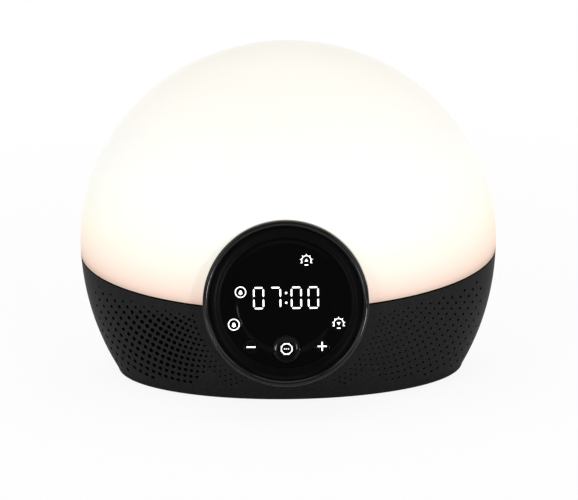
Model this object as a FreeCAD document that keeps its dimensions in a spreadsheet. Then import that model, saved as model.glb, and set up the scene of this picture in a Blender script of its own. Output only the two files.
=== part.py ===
import FreeCAD, Part
import math
import os
import Sketcher

# A bedside sunrise lamp with an alarm clock: an opal dome on a dark perforated base, with a round control drum
# that pushes out through both. Millimetres, +Z up, the front faces -Y, and the origin is under the middle.

# Main sizes
HALF_WIDTH = 106
FRONT_DEPTH = 60
REAR_DEPTH = 48
EQUATOR_HEIGHT = 67
DOME_RISE = 104
LOWER_REACH = 120
FOOT_LIFT = 1.2
BASE_EDGE_ROUND = 4
DOME_WALL = 2.2
BASE_WALL = 2.5
FLOOR_RIM = 9
SEAM_HEIGHT = 65
SEAM_TILT = 14
SKIRT_DEPTH = 5
DRUM_TILT = 13
DRUM_HEIGHT = 56.2
DRUM_REACH = 68.2
DRUM_RADIUS = 39.6
DRUM_WALL = 2.2
DRUM_LENGTH = 36
LIP_ROUND = 1.4
BOWL_DEPTH = 4.2
BOWL_ROUND = 4.6
BOWL_RADIUS = 32.2
FACE_RADIUS = 31
FACE_DROP = 0.5
FACE_THICK = 2.2
KEY_CIRCLE = 27
KEY_RADIUS = 3.6
SELECT_OFFSET = 22
SELECT_RADIUS = 6.6
TRAY_THICK = 1.8
SPREADER_RADIUS = 29
SPEAKER_FROM_SIDE = 42
SPEAKER_SIDE = HALF_WIDTH - SPEAKER_FROM_SIDE
SPEAKER_HEIGHT = 27
SPEAKER_DEPTH = 7.5
SPEAKER_RADIUS = 18
COVER_THICK = 2
FOOT_RADIUS = 6
JACK_HEIGHT = 15
MAIN_BOARD_WIDTH = 76
MAIN_BOARD_DEPTH = 34

V = FreeCAD.Vector
doc = FreeCAD.newDocument("sunrise_alarm_clock")
sheet = doc.addObject("Spreadsheet::Sheet", "Sizes")
sheet_row = 0


def size(alias, value, note):
    """One driving dimension: a plain number in its own cell, with an alias."""
    global sheet_row
    sheet_row += 1
    sheet.set(f"A{sheet_row}", note)
    sheet.set(f"B{sheet_row}", str(value))
    sheet.setAlias(f"B{sheet_row}", alias)


def derived(alias, formula, note):
    """A dimension that follows from others, as a formula in the sheet."""
    size(alias, "=" + formula, note)


# Outer form
size("half_width", HALF_WIDTH, "half of the lamp's width, at the equator")
size("front_depth", FRONT_DEPTH, "from the body's axis forward to the dome")
size("rear_depth", REAR_DEPTH, "from the body's axis back to the dome")
size("equator_height", EQUATOR_HEIGHT, "height of the widest section")
size("dome_rise", DOME_RISE, "from the equator up to the crown")
size("lower_reach", LOWER_REACH, "half height of the ellipse that the base tapers along")
size("foot_lift", FOOT_LIFT, "how far the rubber feet hold the base off the table")
size("base_edge_round", BASE_EDGE_ROUND, "rounding under the base")
size("dome_wall", DOME_WALL, "wall of the opal dome")
size("base_wall", BASE_WALL, "wall of the base")
size("floor_rim", FLOOR_RIM, "width of the base's floor round the cover")

# Seam between the dome and the base
size("seam_height", SEAM_HEIGHT, "height of the seam over the body's axis")
size("seam_tilt", SEAM_TILT, "degrees that the seam rises towards the back")
size("seam_gap", 0.4, "open line between the dome and the base")
size("skirt_depth", SKIRT_DEPTH, "how far the dome's skirt drops into the base")
size("skirt_wall", 1.4, "wall of that skirt")
size("skirt_clearance", 0.3, "room between the skirt and the base")
size("bead_height", 2.5, "height of the thick bead over the skirt")

# Control drum
size("drum_tilt", DRUM_TILT, "degrees that the drum leans back")
size("drum_height", DRUM_HEIGHT, "height of the middle of the lip's front plane")
size("drum_reach", DRUM_REACH, "how far that point stands in front of the body's axis")
size("drum_radius", DRUM_RADIUS, "outer radius of the drum")
size("drum_wall", DRUM_WALL, "wall of the drum")
size("drum_length", DRUM_LENGTH, "length of the drum along its own axis")
size("drum_clearance", 0.3, "gap round the drum where it comes through the shells")
size("lip_round", LIP_ROUND, "radius of the rounded lip")
size("bowl_depth", BOWL_DEPTH, "from the lip's front down to the bowl's inner edge")
size("bowl_round", BOWL_ROUND, "radius that the bowl is hollowed to")
size("bowl_radius", BOWL_RADIUS, "radius of the bowl's inner edge")
size("bowl_wall", 2.2, "thickness under the bowl")
size("ledge_width", 2, "ledge that the face rests on")
size("ledge_thick", 1.8, "thickness of that ledge")

# Face and keys
size("face_radius", FACE_RADIUS, "radius of the glossy face")
size("face_drop", FACE_DROP, "how far the face lies below the bowl's inner edge")
size("face_thick", FACE_THICK, "thickness of the face")
size("face_clearance", 0.15, "gap round the face")
size("dish_inner", 22.4, "radius where the shallow dished ring starts")
size("dish_outer", 30.2, "radius where it ends")
size("dish_sag", 0.6, "depth of the dished ring")
size("key_circle", KEY_CIRCLE, "radius of the circle that the flush keys lie on")
size("key_radius", KEY_RADIUS, "radius of a flush key")
size("key_clearance", 0.2, "gap round a key")
size("key_flange", 0.8, "how far a key's flange reaches under the face")
size("key_flange_thick", 0.8, "thickness of that flange")
size("key_stem_radius", 1.6, "radius of a key's stem")
size("key_rest_gap", 0.15, "room between a flange and the face")
size("key_drop", 0.45, "how far a flush key's edge lies under the middle of the face")
size("key_dish", 0.15, "depth of its hollow top")
size("key_travel", 0.5, "travel of a flush key")
size("outer_key_angle", 68, "degrees from straight down to the alarm and sunset keys")
size("inner_key_angle", 39, "degrees from straight down to the minus and plus keys")
size("select_offset", SELECT_OFFSET, "how far the select key lies below the middle of the face")
size("select_radius", SELECT_RADIUS, "radius of the select key")
size("select_travel", 0.8, "travel of the select key")
size("select_rise", 0.5, "how far its ring stands over the face")
size("select_ring", 0.9, "width of that ring")
size("select_dish", 0.3, "depth of its hollow top")

# Inside the drum
size("board_thick", 1.6, "thickness of each printed board")
size("control_board_depth", 12.6, "from the lip's plane to the front of the control board")
size("control_board_radius", 31.2, "radius of the control board")
size("boss_radius", 3, "radius of the screw bosses")
size("board_boss_radius", 2.6, "radius of the bosses that carry the control board")
size("board_boss_circle", 28.2, "radius of the circle of those bosses")
size("drum_boss_circle", 34.8, "radius of the circle of bosses at the drum's back")
size("drum_boss_length", 9, "length of those bosses")
size("screw_shank", 1.1, "radius of a small screw's shank")
size("screw_head", 2.1, "radius of its head")
size("screw_head_thick", 1.2, "thickness of its head")
size("screw_length", 7, "length of its shank")
size("screw_room", 0.1, "room round a shank")
size("screw_tip_room", 0.4, "room past its tip")
size("module_width", 40, "width of the display module")
size("module_height", 15.5, "height of the display module")
size("module_offset", 2.7, "how far its middle lies over the middle of the face")
size("module_gap", 0.3, "gap between the display module and the face")
size("switch_side", 6, "side of a key switch")
size("switch_thick", 2.6, "thickness of a key switch")
size("plunger_radius", 1.5, "radius of its plunger")
size("plunger_rise", 0.7, "height of its plunger")
size("plunger_gap", 0.1, "room left over the plunger at full travel")
size("icon_side", 1.6, "side of a small lamp behind an icon")
size("icon_thick", 0.7, "thickness of that lamp")
size("backplate_thick", 2, "thickness of the plate behind the drum")
size("ear_drop", 38.5, "how far the plate's lower screws lie below the drum's axis")
size("ear_spread", 24, "half the distance between those screws")
size("ear_margin", 3.6, "plate left round those screws")
size("lead_hole", 5, "radius of the hole for the display lead")
size("lead_drop", 14, "how far that hole lies below the drum's axis")

# Light tray in the seam
size("tray_thick", TRAY_THICK, "thickness of the white tray")
size("tray_gap", 0.5, "gap between the tray and the dome's skirt")
size("tray_rim", 4, "height of the tray's upturned rim")
size("tray_boss_x", 74, "sideways place of the tray's screws")
size("tray_boss_front", 18, "forward place of the front pair")
size("tray_boss_rear", 18, "rearward place of the rear pair")
size("lamp_back", 8, "how far the light board's middle lies behind the body's axis")
size("spreader_radius", SPREADER_RADIUS, "radius of the aluminium heat spreader")
size("spreader_thick", 2, "thickness of the heat spreader")
size("light_board_radius", 27, "radius of the light board")
size("emitter_side", 3, "side of a light emitter")
size("emitter_thick", 0.8, "thickness of a light emitter")
size("emitter_ring_outer", 19.5, "radius of the outer ring of emitters")
size("emitter_ring_inner", 11, "radius of the inner ring of emitters")
size("emitters_outer", 12, "emitters in the outer ring")
size("emitters_inner", 6, "emitters in the inner ring")
size("light_screw_circle", 24.6, "radius of the circle of screws through the light board")

# Speaker behind the left perforations
size("speaker_side", SPEAKER_SIDE, "how far left of the middle the speaker points out")
size("speaker_height", SPEAKER_HEIGHT, "height of that point")
size("speaker_depth", SPEAKER_DEPTH, "from the outer surface to the speaker's seat")
size("speaker_radius", SPEAKER_RADIUS, "radius of the speaker's flange")
size("speaker_flange", 1.5, "thickness of that flange")
size("cone_radius", 12.8, "radius of the speaker's moving cone")
size("cone_depth", 5, "depth of that cone")
size("cone_thick", 0.6, "thickness of that cone")
size("cone_gap", 0.8, "gap round that cone")
size("basket_depth", 9, "depth of the speaker's basket")
size("magnet_radius", 9, "radius of the speaker's magnet")
size("magnet_thick", 7, "thickness of the speaker's magnet")
size("gasket_thick", 1, "thickness of the speaker's gasket")
size("cloth_thick", 0.4, "thickness of the cloth behind the perforations")
size("speaker_screw_circle", 15.8, "radius of the circle of the speaker's screws")

# Perforations, on rings about the drum's axis
size("hole_ring_pitch", 2.2, "step from one ring of holes to the next")
size("hole_angle_pitch", 4, "degrees between the holes of one ring")
size("hole_first_ring", 50.6, "radius of the first ring of holes")
size("hole_last_ring", 97, "radius of the last ring of holes")
size("hole_seam_margin", 6, "plain band under the seam")
size("hole_floor_margin", 6.5, "plain band over the table")
size("hole_lowest_angle", 42, "degrees below the horizontal where the pattern stops")
size("hole_radius", 0.95, "radius of the largest hole")
size("hole_edge_radius", 0.45, "radius of the smallest hole that is cut")
size("hole_middle_side", SPEAKER_SIDE, "how far left of the middle the largest holes are")
size("hole_middle_height", 35, "height of the largest holes")
size("hole_fade", 46, "distance from there over which the holes shrink away")
size("vent_radius", 0.55, "radius of the largest hole on the right")
size("hole_sides", 5, "sides of a hole, as it is cut here")

# Floor, power and electronics
size("cover_thick", COVER_THICK, "thickness of the bottom cover")
size("cover_gap", 0.3, "gap round the bottom cover")
size("cover_ledge", 3, "ledge that the bottom cover is screwed to")
size("cover_ledge_thick", 1.6, "thickness of that ledge")
size("foot_radius", FOOT_RADIUS, "radius of a rubber foot")
size("foot_recess", 0.8, "how deep a foot sits in the cover")
size("foot_front_x", 40, "sideways place of the front feet")
size("foot_front_y", 25, "forward place of the front feet")
size("foot_rear_x", 48, "sideways place of the rear feet")
size("foot_rear_y", 11, "rearward place of the rear feet")
size("jack_height", JACK_HEIGHT, "height of the power socket's axis")
size("jack_bore", 2.9, "radius of the power socket's bore")
size("jack_radius", 4, "radius of the socket's round nose")
size("jack_side", 9, "side of the socket's square body")
size("jack_length", 12, "length of the socket's square body")
size("jack_nose", 5, "length of the socket's nose")
size("jack_sunk", 0.6, "how far the nose stays inside the base's surface")
size("jack_depth", 9.5, "depth of the socket's bore")
size("jack_pin", 1.05, "radius of the socket's centre contact")
size("jack_pin_back", 1, "how far the contact's tip lies inside the mouth")
size("jack_wall_hole", 4.3, "radius of the hole for the nose")
size("main_board_front", 8, "from the body's axis forward to the main board's edge")
size("main_board_width", MAIN_BOARD_WIDTH, "width of the main board")
size("main_board_depth", MAIN_BOARD_DEPTH, "depth of the main board")
size("main_board_lift", 5, "height of the posts under the main board")
size("main_board_margin", 4, "from the board's edge to its screws")
size("cover_screw_x", 62, "sideways place of the cover's screws")
size("cover_screw_inset", 12.5, "from the base's edge in to the cover's screws")
size("cover_boss_top", 12, "height of the bosses over the cover's screws")
size("head_recess", 1.3, "how deep the cover's screw heads sit")
size("vent_length", 26, "length of a vent slot in the cover")
size("vent_width", 1.8, "width of a vent slot")
size("vent_step", 5, "step from one vent slot to the next")
size("vents", 5, "number of vent slots")
size("lead_radius", 1.2, "radius of an inner lead")
size("connector_rise", 4.2, "height of a connector on the main board")
size("chip_side", 12, "side of the main chip")
size("chip_thick", 1.6, "thickness of the main chip")
size("can_radius", 4, "radius of a capacitor can")
size("can_height", 11, "height of a capacitor can")
size("coil_radius", 5, "radius of the coil")
size("coil_height", 6, "height of the coil")
size("connector_length", 8, "length of a connector")
size("connector_width", 5, "width of a connector")
size("power_connector_height", 8, "height of the connector that the power socket's lead runs to")
size("parts_spread", 29, "sideways place of the cans and the coil")

doc.recompute()

# Dimensions that follow from those
RISE = "sin(drum_tilt * 1 deg)"
RUN = "cos(drum_tilt * 1 deg)"
derived("drum_bore", "drum_radius - drum_wall", "inner radius of the drum")
derived("lip_circle", "drum_radius - lip_round", "radius of the circle along the middle of the lip")
derived("bowl_outer", "drum_radius - 2 * lip_round", "radius where the bowl meets the lip")
derived("seat_depth", "bowl_depth + face_drop + face_thick", "from the lip's plane to the face's ledge")
derived("ledge_back", "seat_depth + ledge_thick", "from the lip's plane to the back of that ledge")
derived("dish_round", "(dish_outer - dish_inner) ^ 2 / (8 * dish_sag) + dish_sag / 2", "radius of the dished ring")
derived("face_depth", "bowl_depth + face_drop", "from the lip's plane to the front of the face")
derived("board_back", "control_board_depth + board_thick", "from the lip's plane to the back of the control board")
derived("front_reach", f"drum_reach + lip_circle * {RISE} - lip_round * {RUN} + lip_round", "front of the drum")
derived("axis_shift", "(front_reach - rear_depth) / 2", "from the origin back to the body's axis")
derived("floor_top", "foot_lift + cover_thick + cover_ledge_thick", "top of the base's floor")
derived("skirt_inset", "base_wall + skirt_clearance", "from the outer form in to the skirt")
derived("tray_inset", "skirt_inset + skirt_wall + tray_gap", "from the outer form in to the tray")
derived("tray_top", "0 - skirt_depth - tray_gap", "tray's upper face, square to the seam")
derived("flange_face", "speaker_depth + cloth_thick + gasket_thick", "from the surface down to the speaker's flange")
doc.recompute()


def v(alias):
    """A size from the sheet, as a number."""
    return float(getattr(sheet, alias))


def bind(obj, **expressions):
    """Ties properties to sizes in the sheet."""
    for name, expression in expressions.items():
        obj.setExpression(name, sheeted(expression))


def sheeted(expression):
    """The same expression with each alias written as a cell of the sheet."""
    words = []
    word = ""
    for letter in expression + " ":
        if letter.isalnum() or letter == "_":
            word += letter
            continue
        words.append("Sizes." + word if word in ALIASES else word)
        words.append(letter)
        word = ""
    return "".join(words).strip()


ALIASES = {sheet.getAlias(f"B{row}") for row in range(1, sheet_row + 1)}
NODES = {}


def node(obj, label):
    """Registers an object as one sub-part, under the name of its file."""
    obj.Label = label
    NODES[label] = obj
    return obj


# Places. Each is a Placement whose own Z axis is the direction that the pieces there are built along.
BODY_AXIS = FreeCAD.Placement(V(0, v("axis_shift"), 0), FreeCAD.Rotation())
DRUM_TURN = FreeCAD.Rotation(V(1, 0, 0), 90 - v("drum_tilt"))
DRUM_LOCAL = FreeCAD.Placement(V(0, -v("drum_reach"), v("drum_height")), DRUM_TURN)
SEAM_LOCAL = FreeCAD.Placement(V(0, 0, v("seam_height")), FreeCAD.Rotation(V(1, 0, 0), v("seam_tilt")))
LAMP_RISE = v("lamp_back") * math.tan(math.radians(v("seam_tilt")))
LAMP_LOCAL = FreeCAD.Placement(V(0, v("lamp_back"), v("seam_height") + LAMP_RISE), SEAM_LOCAL.Rotation)


def at_axis(obj):
    """Moves what was built about the body's axis to its place over the origin."""
    obj.Placement = BODY_AXIS.multiply(obj.Placement)
    return obj


def place(obj, local, offset=None):
    """Puts an object at a place, an offset away in that place's own directions."""
    shift = FreeCAD.Placement(offset or V(0, 0, 0), FreeCAD.Rotation())
    obj.Placement = BODY_AXIS.multiply(local).multiply(shift)
    return obj


# Shared solids

def ellipse_arc(centre_z, radius_x, radius_z, start, end):
    """An arc of an upright ellipse in the XZ plane, from one point on it to another."""
    centre = V(0, 0, centre_z)
    wide = V(radius_x, 0, centre_z)
    tall = V(0, 0, centre_z + radius_z)
    if radius_x > radius_z:
        ellipse = Part.Ellipse(wide, tall, centre)
    else:
        ellipse = Part.Ellipse(tall, wide, centre)
    first, last = ellipse.parameter(start), ellipse.parameter(end)
    span = (last - first) % (2 * math.pi)
    if span > math.pi:
        first, span = last, 2 * math.pi - span
    return Part.Edge(ellipse, first, first + span)


def rounded_foot(half_width, lower, equator, floor, radius):
    """Where an arc of the given radius touches the floor and the lower ellipse: three points of that arc."""
    low, high = 0.0, math.pi / 2
    for _ in range(60):
        turn = (low + high) / 2
        out_x, out_z = math.cos(turn) / half_width, -math.sin(turn) / lower
        length = math.hypot(out_x, out_z)
        centre_z = equator - lower * math.sin(turn) - radius * out_z / length
        if centre_z > floor + radius:
            low = turn
        else:
            high = turn
    touch = V(half_width * math.cos(turn), 0, equator - lower * math.sin(turn))
    outward = V(out_x, 0, out_z).normalize()
    centre = touch - outward * radius
    middle = (outward + V(0, 0, -1)).normalize()
    return centre + V(0, 0, -radius), centre + middle * radius, touch


def body_form(inset, floor, edge_radius):
    """The lamp's closed outer form drawn in by an inset, with elliptical sections all the way up."""
    half_width = v("half_width") - inset
    rise = v("dome_rise") - inset
    lower = v("lower_reach") - inset
    equator = v("equator_height")
    base, middle, touch = rounded_foot(half_width, lower, equator, floor, edge_radius)
    widest = V(half_width, 0, equator)
    crown = V(0, 0, equator + rise)
    edges = [
        Part.LineSegment(V(0, 0, floor), base).toShape(),
        Part.Arc(base, middle, touch).toShape(),
        ellipse_arc(equator, half_width, lower, touch, widest),
        ellipse_arc(equator, half_width, rise, widest, crown),
        Part.LineSegment(crown, V(0, 0, floor)).toShape(),
    ]
    section = Part.Face(Part.Wire(Part.__sortEdges__(edges)))
    halves = []
    for depth, turn in ((v("front_depth"), -180), (v("rear_depth"), 180)):
        half = section.revolve(V(0, 0, 0), V(0, 0, 1), turn)
        flatten = FreeCAD.Matrix()
        flatten.A22 = (depth - inset) / half_width
        halves.append(half.transformGeometry(flatten))
    return halves[0].fuse(halves[1]).removeSplitter()


REACH = 2 * (v("half_width") + v("dome_rise"))


def seam_side(above, offset):
    """Everything above or below a plane parallel to the seam, an offset away from it."""
    block = Part.makeBox(REACH, REACH, REACH, V(-REACH / 2, -REACH / 2, 0 if above else -REACH))
    block.Placement = SEAM_LOCAL.multiply(FreeCAD.Placement(V(0, 0, offset), FreeCAD.Rotation()))
    return block


def rod(local, radius, start, end, x=0, y=0):
    """A cylinder along a place's own Z axis, between two heights on it."""
    solid = Part.makeCylinder(radius, end - start, V(x, y, start))
    solid.Placement = local
    return solid


def drum_rod(radius):
    """The room that the drum takes where it comes through the shells, to past its backplate."""
    return rod(DRUM_LOCAL, radius, -v("drum_length") - 4 * v("backplate_thick"), v("drum_length"))


outer_form = body_form(0, v("foot_lift"), v("base_edge_round"))


def inner_form(inset, floor):
    """The outer form drawn in by a wall, standing on an inner floor."""
    return body_form(inset, floor, max(v("base_edge_round") - v("base_wall"), v("base_wall") / 2))


# Diffuser dome: an opal shell over the seam, with a thick bead and a skirt that drops into the base
skirt_top = v("seam_gap") + v("bead_height")
skirt_form = inner_form(v("skirt_inset"), v("floor_top"))
skirt_hollow = inner_form(v("skirt_inset") + v("skirt_wall"), v("floor_top"))
dome_hollow = inner_form(v("dome_wall"), v("floor_top")).common(seam_side(True, skirt_top))
skirt_block = skirt_form.common(seam_side(True, -v("skirt_depth"))).common(seam_side(False, skirt_top))
dome_solid = outer_form.common(seam_side(True, v("seam_gap"))).fuse(skirt_block)
dome_solid = dome_solid.cut(skirt_hollow).cut(dome_hollow)
diffuser_dome = doc.addObject("Part::Feature", "diffuser_dome")
diffuser_dome.Shape = dome_solid.cut(drum_rod(v("drum_radius") + v("drum_clearance")))
node(at_axis(diffuser_dome), "diffuser_dome")

# Base housing: the dark shell under the seam, with bosses, a speaker collar and graded perforations
inside = inner_form(v("base_wall"), v("floor_top"))


def surface_point(x, up):
    """The point of the base's surface that lies in front of a point of the drum's plane."""
    drum_x = V(1, 0, 0)
    drum_up = DRUM_TURN.multVec(V(0, 1, 0))
    ahead = DRUM_TURN.multVec(V(0, 0, 1))
    start = DRUM_LOCAL.Base + drum_x * x + drum_up * up
    radii = (v("half_width"), v("front_depth"), v("lower_reach"))
    start_q = [start.x / radii[0], start.y / radii[1], (start.z - v("equator_height")) / radii[2]]
    ahead_q = [ahead.x / radii[0], ahead.y / radii[1], ahead.z / radii[2]]
    a = sum(c * c for c in ahead_q)
    b = sum(p * c for p, c in zip(start_q, ahead_q))
    c = sum(p * p for p in start_q) - 1
    under_root = b * b - a * c
    if under_root < 0:
        return None
    return start + ahead * ((-b + math.sqrt(under_root)) / a)


def outward(point):
    """The direction square to the base's surface at a point of its front."""
    slope = V(
        point.x / v("half_width") ** 2,
        point.y / v("front_depth") ** 2,
        (point.z - v("equator_height")) / v("lower_reach") ** 2,
    )
    return slope.normalize()


def front_point(x, z):
    """The point of the base's front surface at a sideways place and a height."""
    rest = 1 - (x / v("half_width")) ** 2 - ((z - v("equator_height")) / v("lower_reach")) ** 2
    return V(x, -v("front_depth") * math.sqrt(rest), z)


HOLE_MIDDLE = front_point(-v("hole_middle_side"), v("hole_middle_height"))
SPEAKER_POINT = front_point(-v("speaker_side"), v("speaker_height"))
SPEAKER_TURN = FreeCAD.Rotation(V(0, 0, 1), outward(SPEAKER_POINT))
SPEAKER_LOCAL = FreeCAD.Placement(SPEAKER_POINT, SPEAKER_TURN)


def hole_radius(point):
    """Radius of the perforation at a point: it fades away from the largest ones, and is finer on the right."""
    if point.x < 0:
        far = point.distanceToPoint(HOLE_MIDDLE) / v("hole_fade")
        return v("hole_radius") * (1 - far * far)
    return v("vent_radius") * point.x / v("half_width")


def hole_prism(point, radius):
    """A small prism through the wall, square to the surface."""
    direction = outward(point)
    depth = 2 * v("base_wall")
    turn = FreeCAD.Rotation(V(0, 0, 1), direction)
    sides = int(v("hole_sides"))
    corners = [2 * math.pi * k / sides for k in range(sides + 1)]
    outline = [V(radius * math.cos(c), radius * math.sin(c), -depth) for c in corners]
    prism = Part.Face(Part.makePolygon(outline)).extrude(V(0, 0, 1.5 * depth))
    prism.Placement = FreeCAD.Placement(point, turn)
    return prism


def perforations():
    """Prisms for the whole pattern: rings about the drum's axis, each ring half a step on from the last."""
    prisms = []
    seam_slope = math.tan(math.radians(v("seam_tilt")))
    rings = int((v("hole_last_ring") - v("hole_first_ring")) / v("hole_ring_pitch")) + 1
    steps = int(v("hole_lowest_angle") / v("hole_angle_pitch"))
    for ring in range(rings):
        radius = v("hole_first_ring") + ring * v("hole_ring_pitch")
        for step in range(-2, steps + 1):
            down = math.radians((step + 0.5 * (ring % 2)) * v("hole_angle_pitch"))
            for side in (-1, 1):
                point = surface_point(side * radius * math.cos(down), -radius * math.sin(down))
                if point is None or point.y > 0:
                    continue
                seam_z = v("seam_height") + point.y * seam_slope
                if not v("hole_floor_margin") < point.z < seam_z - v("hole_seam_margin"):
                    continue
                if hole_radius(point) >= v("hole_edge_radius"):
                    prisms.append(hole_prism(point, hole_radius(point)))
    return prisms


# Screws. Each place has its origin under the screw's head, and its Z axis comes out of the head.


def spot(local, x, y, z):
    """A place moved in its own directions."""
    return local.multiply(FreeCAD.Placement(V(x, y, z), FreeCAD.Rotation()))


def ring(local, circle, count, z, first=0):
    """Places evenly round a circle."""
    places = []
    for k in range(count):
        turn = math.radians(first + k * 360 / count)
        places.append(spot(local, circle * math.cos(turn), circle * math.sin(turn), z))
    return places


def screw_room(place_of_head):
    """The hole that a screw's shank needs, with room past its tip and on through what is clamped."""
    deep = v("screw_length") + v("screw_tip_room")
    hole = Part.makeCylinder(v("screw_shank") + v("screw_room"), 2 * deep, V(0, 0, -deep))
    hole.Placement = place_of_head
    return hole


def reversed_place(place):
    """The same spot, facing the other way."""
    return place.multiply(FreeCAD.Placement(V(0, 0, 0), FreeCAD.Rotation(V(1, 0, 0), 180)))


plate_back = -v("drum_length") - v("backplate_thick")
SCREWS = {
    "control_board_screws": [
        reversed_place(p) for p in ring(DRUM_LOCAL, v("board_boss_circle"), 4, -v("board_back"))[:3]
    ],
    "backplate_screws": [
        reversed_place(p) for p in ring(DRUM_LOCAL, v("drum_boss_circle"), 4, plate_back, 45)
    ] + [
        reversed_place(spot(DRUM_LOCAL, side * v("ear_spread"), -v("ear_drop"), plate_back)) for side in (-1, 1)
    ],
    "light_board_screws": ring(
        LAMP_LOCAL, v("light_screw_circle"), 4, v("tray_top") + v("spreader_thick") + v("board_thick"), 45
    ),
    "speaker_screws": [
        reversed_place(p)
        for p in ring(
            SPEAKER_LOCAL, v("speaker_screw_circle"), 4,
            -v("speaker_depth") - v("cloth_thick") - v("gasket_thick") - v("speaker_flange"), 45
        )
    ],
}

# Bosses: two for the drum's plate, four for the tray, four for the bottom cover, and the speaker's collar
plate_face = -v("drum_length")
drum_bosses = [
    rod(DRUM_LOCAL, v("boss_radius"), plate_face, 0, side * v("ear_spread"), -v("ear_drop")) for side in (-1, 1)
]
tray_under = v("tray_top") - v("tray_thick")
tray_bosses = []
SCREWS["tray_screws"] = []
for side in (-1, 1):
    for y in (-v("tray_boss_front"), v("tray_boss_rear")):
        x = side * v("tray_boss_x")
        post = Part.makeCylinder(v("boss_radius"), v("half_width"), V(x, y, v("foot_lift")))
        tray_bosses.append(post.common(seam_side(False, tray_under)))
        tilt = math.radians(v("seam_tilt"))
        along = y / math.cos(tilt) + tray_under * math.tan(tilt)
        SCREWS["tray_screws"].append(spot(SEAM_LOCAL, x, along, v("tray_top")))
collar = rod(SPEAKER_LOCAL, v("speaker_radius"), -v("speaker_depth"), 0)
collar = collar.cut(rod(SPEAKER_LOCAL, v("cone_radius"), -v("speaker_depth"), 0))


def plan_section(inset, height):
    """A flat face: the outer form's section at a height, drawn in by an inset."""
    share = math.sqrt(1 - ((v("equator_height") - height) / v("lower_reach")) ** 2)
    across = v("half_width") * share - inset
    edges = []
    for depth, sign in ((v("front_depth"), -1), (v("rear_depth"), 1)):
        along = depth * share - inset
        ellipse = Part.Ellipse(V(across, 0, height), V(0, along, height), V(0, 0, height))
        start = math.pi if sign < 0 else 0
        edges.append(Part.Edge(ellipse, start, start + math.pi))
    return Part.Face(Part.Wire(edges))


def rim_point(x, inset, sign):
    """The point of a plan section at a sideways place, in front (-1) or behind (+1)."""
    share = math.sqrt(1 - ((v("equator_height") - v("foot_lift")) / v("lower_reach")) ** 2)
    depth = v("front_depth") if sign < 0 else v("rear_depth")
    across = v("half_width") * share - inset
    return V(x, sign * (depth * share - inset) * math.sqrt(1 - (x / across) ** 2), 0)


floor_height = v("foot_lift")
cover_bosses = []
SCREWS["cover_screws"] = []
for side in (-1, 1):
    for sign in (-1, 1):
        point = rim_point(side * v("cover_screw_x"), v("cover_screw_inset"), sign)
        cover_top = floor_height + v("cover_thick")
        cover_bosses.append(
            Part.makeCylinder(v("boss_radius"), v("cover_boss_top") - cover_top, point + V(0, 0, cover_top))
        )
        head = FreeCAD.Placement(point + V(0, 0, floor_height + v("head_recess")), FreeCAD.Rotation())
        SCREWS["cover_screws"].append(reversed_place(head))
cover_hole = plan_section(v("floor_rim"), floor_height).extrude(V(0, 0, v("cover_thick")))
ledge_inset = v("floor_rim") + v("cover_ledge")
ledge_hole = plan_section(ledge_inset, floor_height).extrude(V(0, 0, v("floor_top")))
jack_hole = Part.makeCylinder(v("jack_wall_hole"), v("rear_depth"), V(0, 0, v("jack_height")), V(0, 1, 0))
cavity = inside.common(seam_side(False, v("seam_gap")))
cavity = cavity.cut(ledge_hole).cut(drum_bosses + tray_bosses + cover_bosses + [collar])
base_solid = outer_form.common(seam_side(False, 0)).cut(cavity)
openings = [jack_hole, drum_rod(v("drum_radius") + v("drum_clearance"))]
openings += [cover_hole, ledge_hole.cut(cover_bosses)]
for group in ("backplate_screws", "tray_screws", "cover_screws", "speaker_screws"):
    openings += [screw_room(p) for p in SCREWS[group]]
base_solid = base_solid.cut(openings)
base_solid = base_solid.cut(perforations())
base_housing = doc.addObject("Part::Feature", "base_housing")
base_housing.Shape = base_solid
node(at_axis(base_housing), "base_housing")

# Sketched pieces


def origin_plane(body, role):
    """One of a body's own origin planes."""
    return next(f for f in body.Origin.OriginFeatures if f.Role == role)


def new_sketch(body, name, role, lift=None):
    """An empty sketch on one of a body's origin planes, lifted off it by an expression."""
    sketch = body.newObject("Sketcher::SketchObject", name)
    sketch.AttachmentSupport = [(origin_plane(body, role), "")]
    sketch.MapMode = "FlatFace"
    if lift:
        sketch.setExpression("AttachmentOffset.Base.z", sheeted(lift))
    return sketch


def fix_point(sketch, geometry, end, name, x, y):
    """Holds a point of a sketch at two expressions."""
    for axis, kind, expression in (("x", "DistanceX", x), ("y", "DistanceY", y)):
        if expression == "0":
            host = -2 if axis == "x" else -1
            sketch.addConstraint(Sketcher.Constraint("PointOnObject", geometry, end, host))
            continue
        value = sheet_value(expression)
        number = sketch.addConstraint(Sketcher.Constraint(kind, -1, 1, geometry, end, value))
        sketch.renameConstraint(number, f"{name}_{axis}")
        sketch.setExpression(f"Constraints.{name}_{axis}", sheeted(expression))


def sheet_value(expression):
    """The number that an expression of aliases comes to."""
    return float(sheet.evalExpression(sheeted(expression)))


def arc_between(start, end, radius, side):
    """A counterclockwise arc of a radius between two points. Side 1 bulges to the right of the way along."""
    chord = end - start
    half = chord.Length / 2
    across = V(chord.y, -chord.x, 0).normalize()
    sag = radius - math.sqrt(max(radius * radius - half * half, 0))
    middle = (start + end) / 2 + across * side * sag
    return Part.Arc(start, middle, end) if side > 0 else Part.Arc(end, middle, start)


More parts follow.
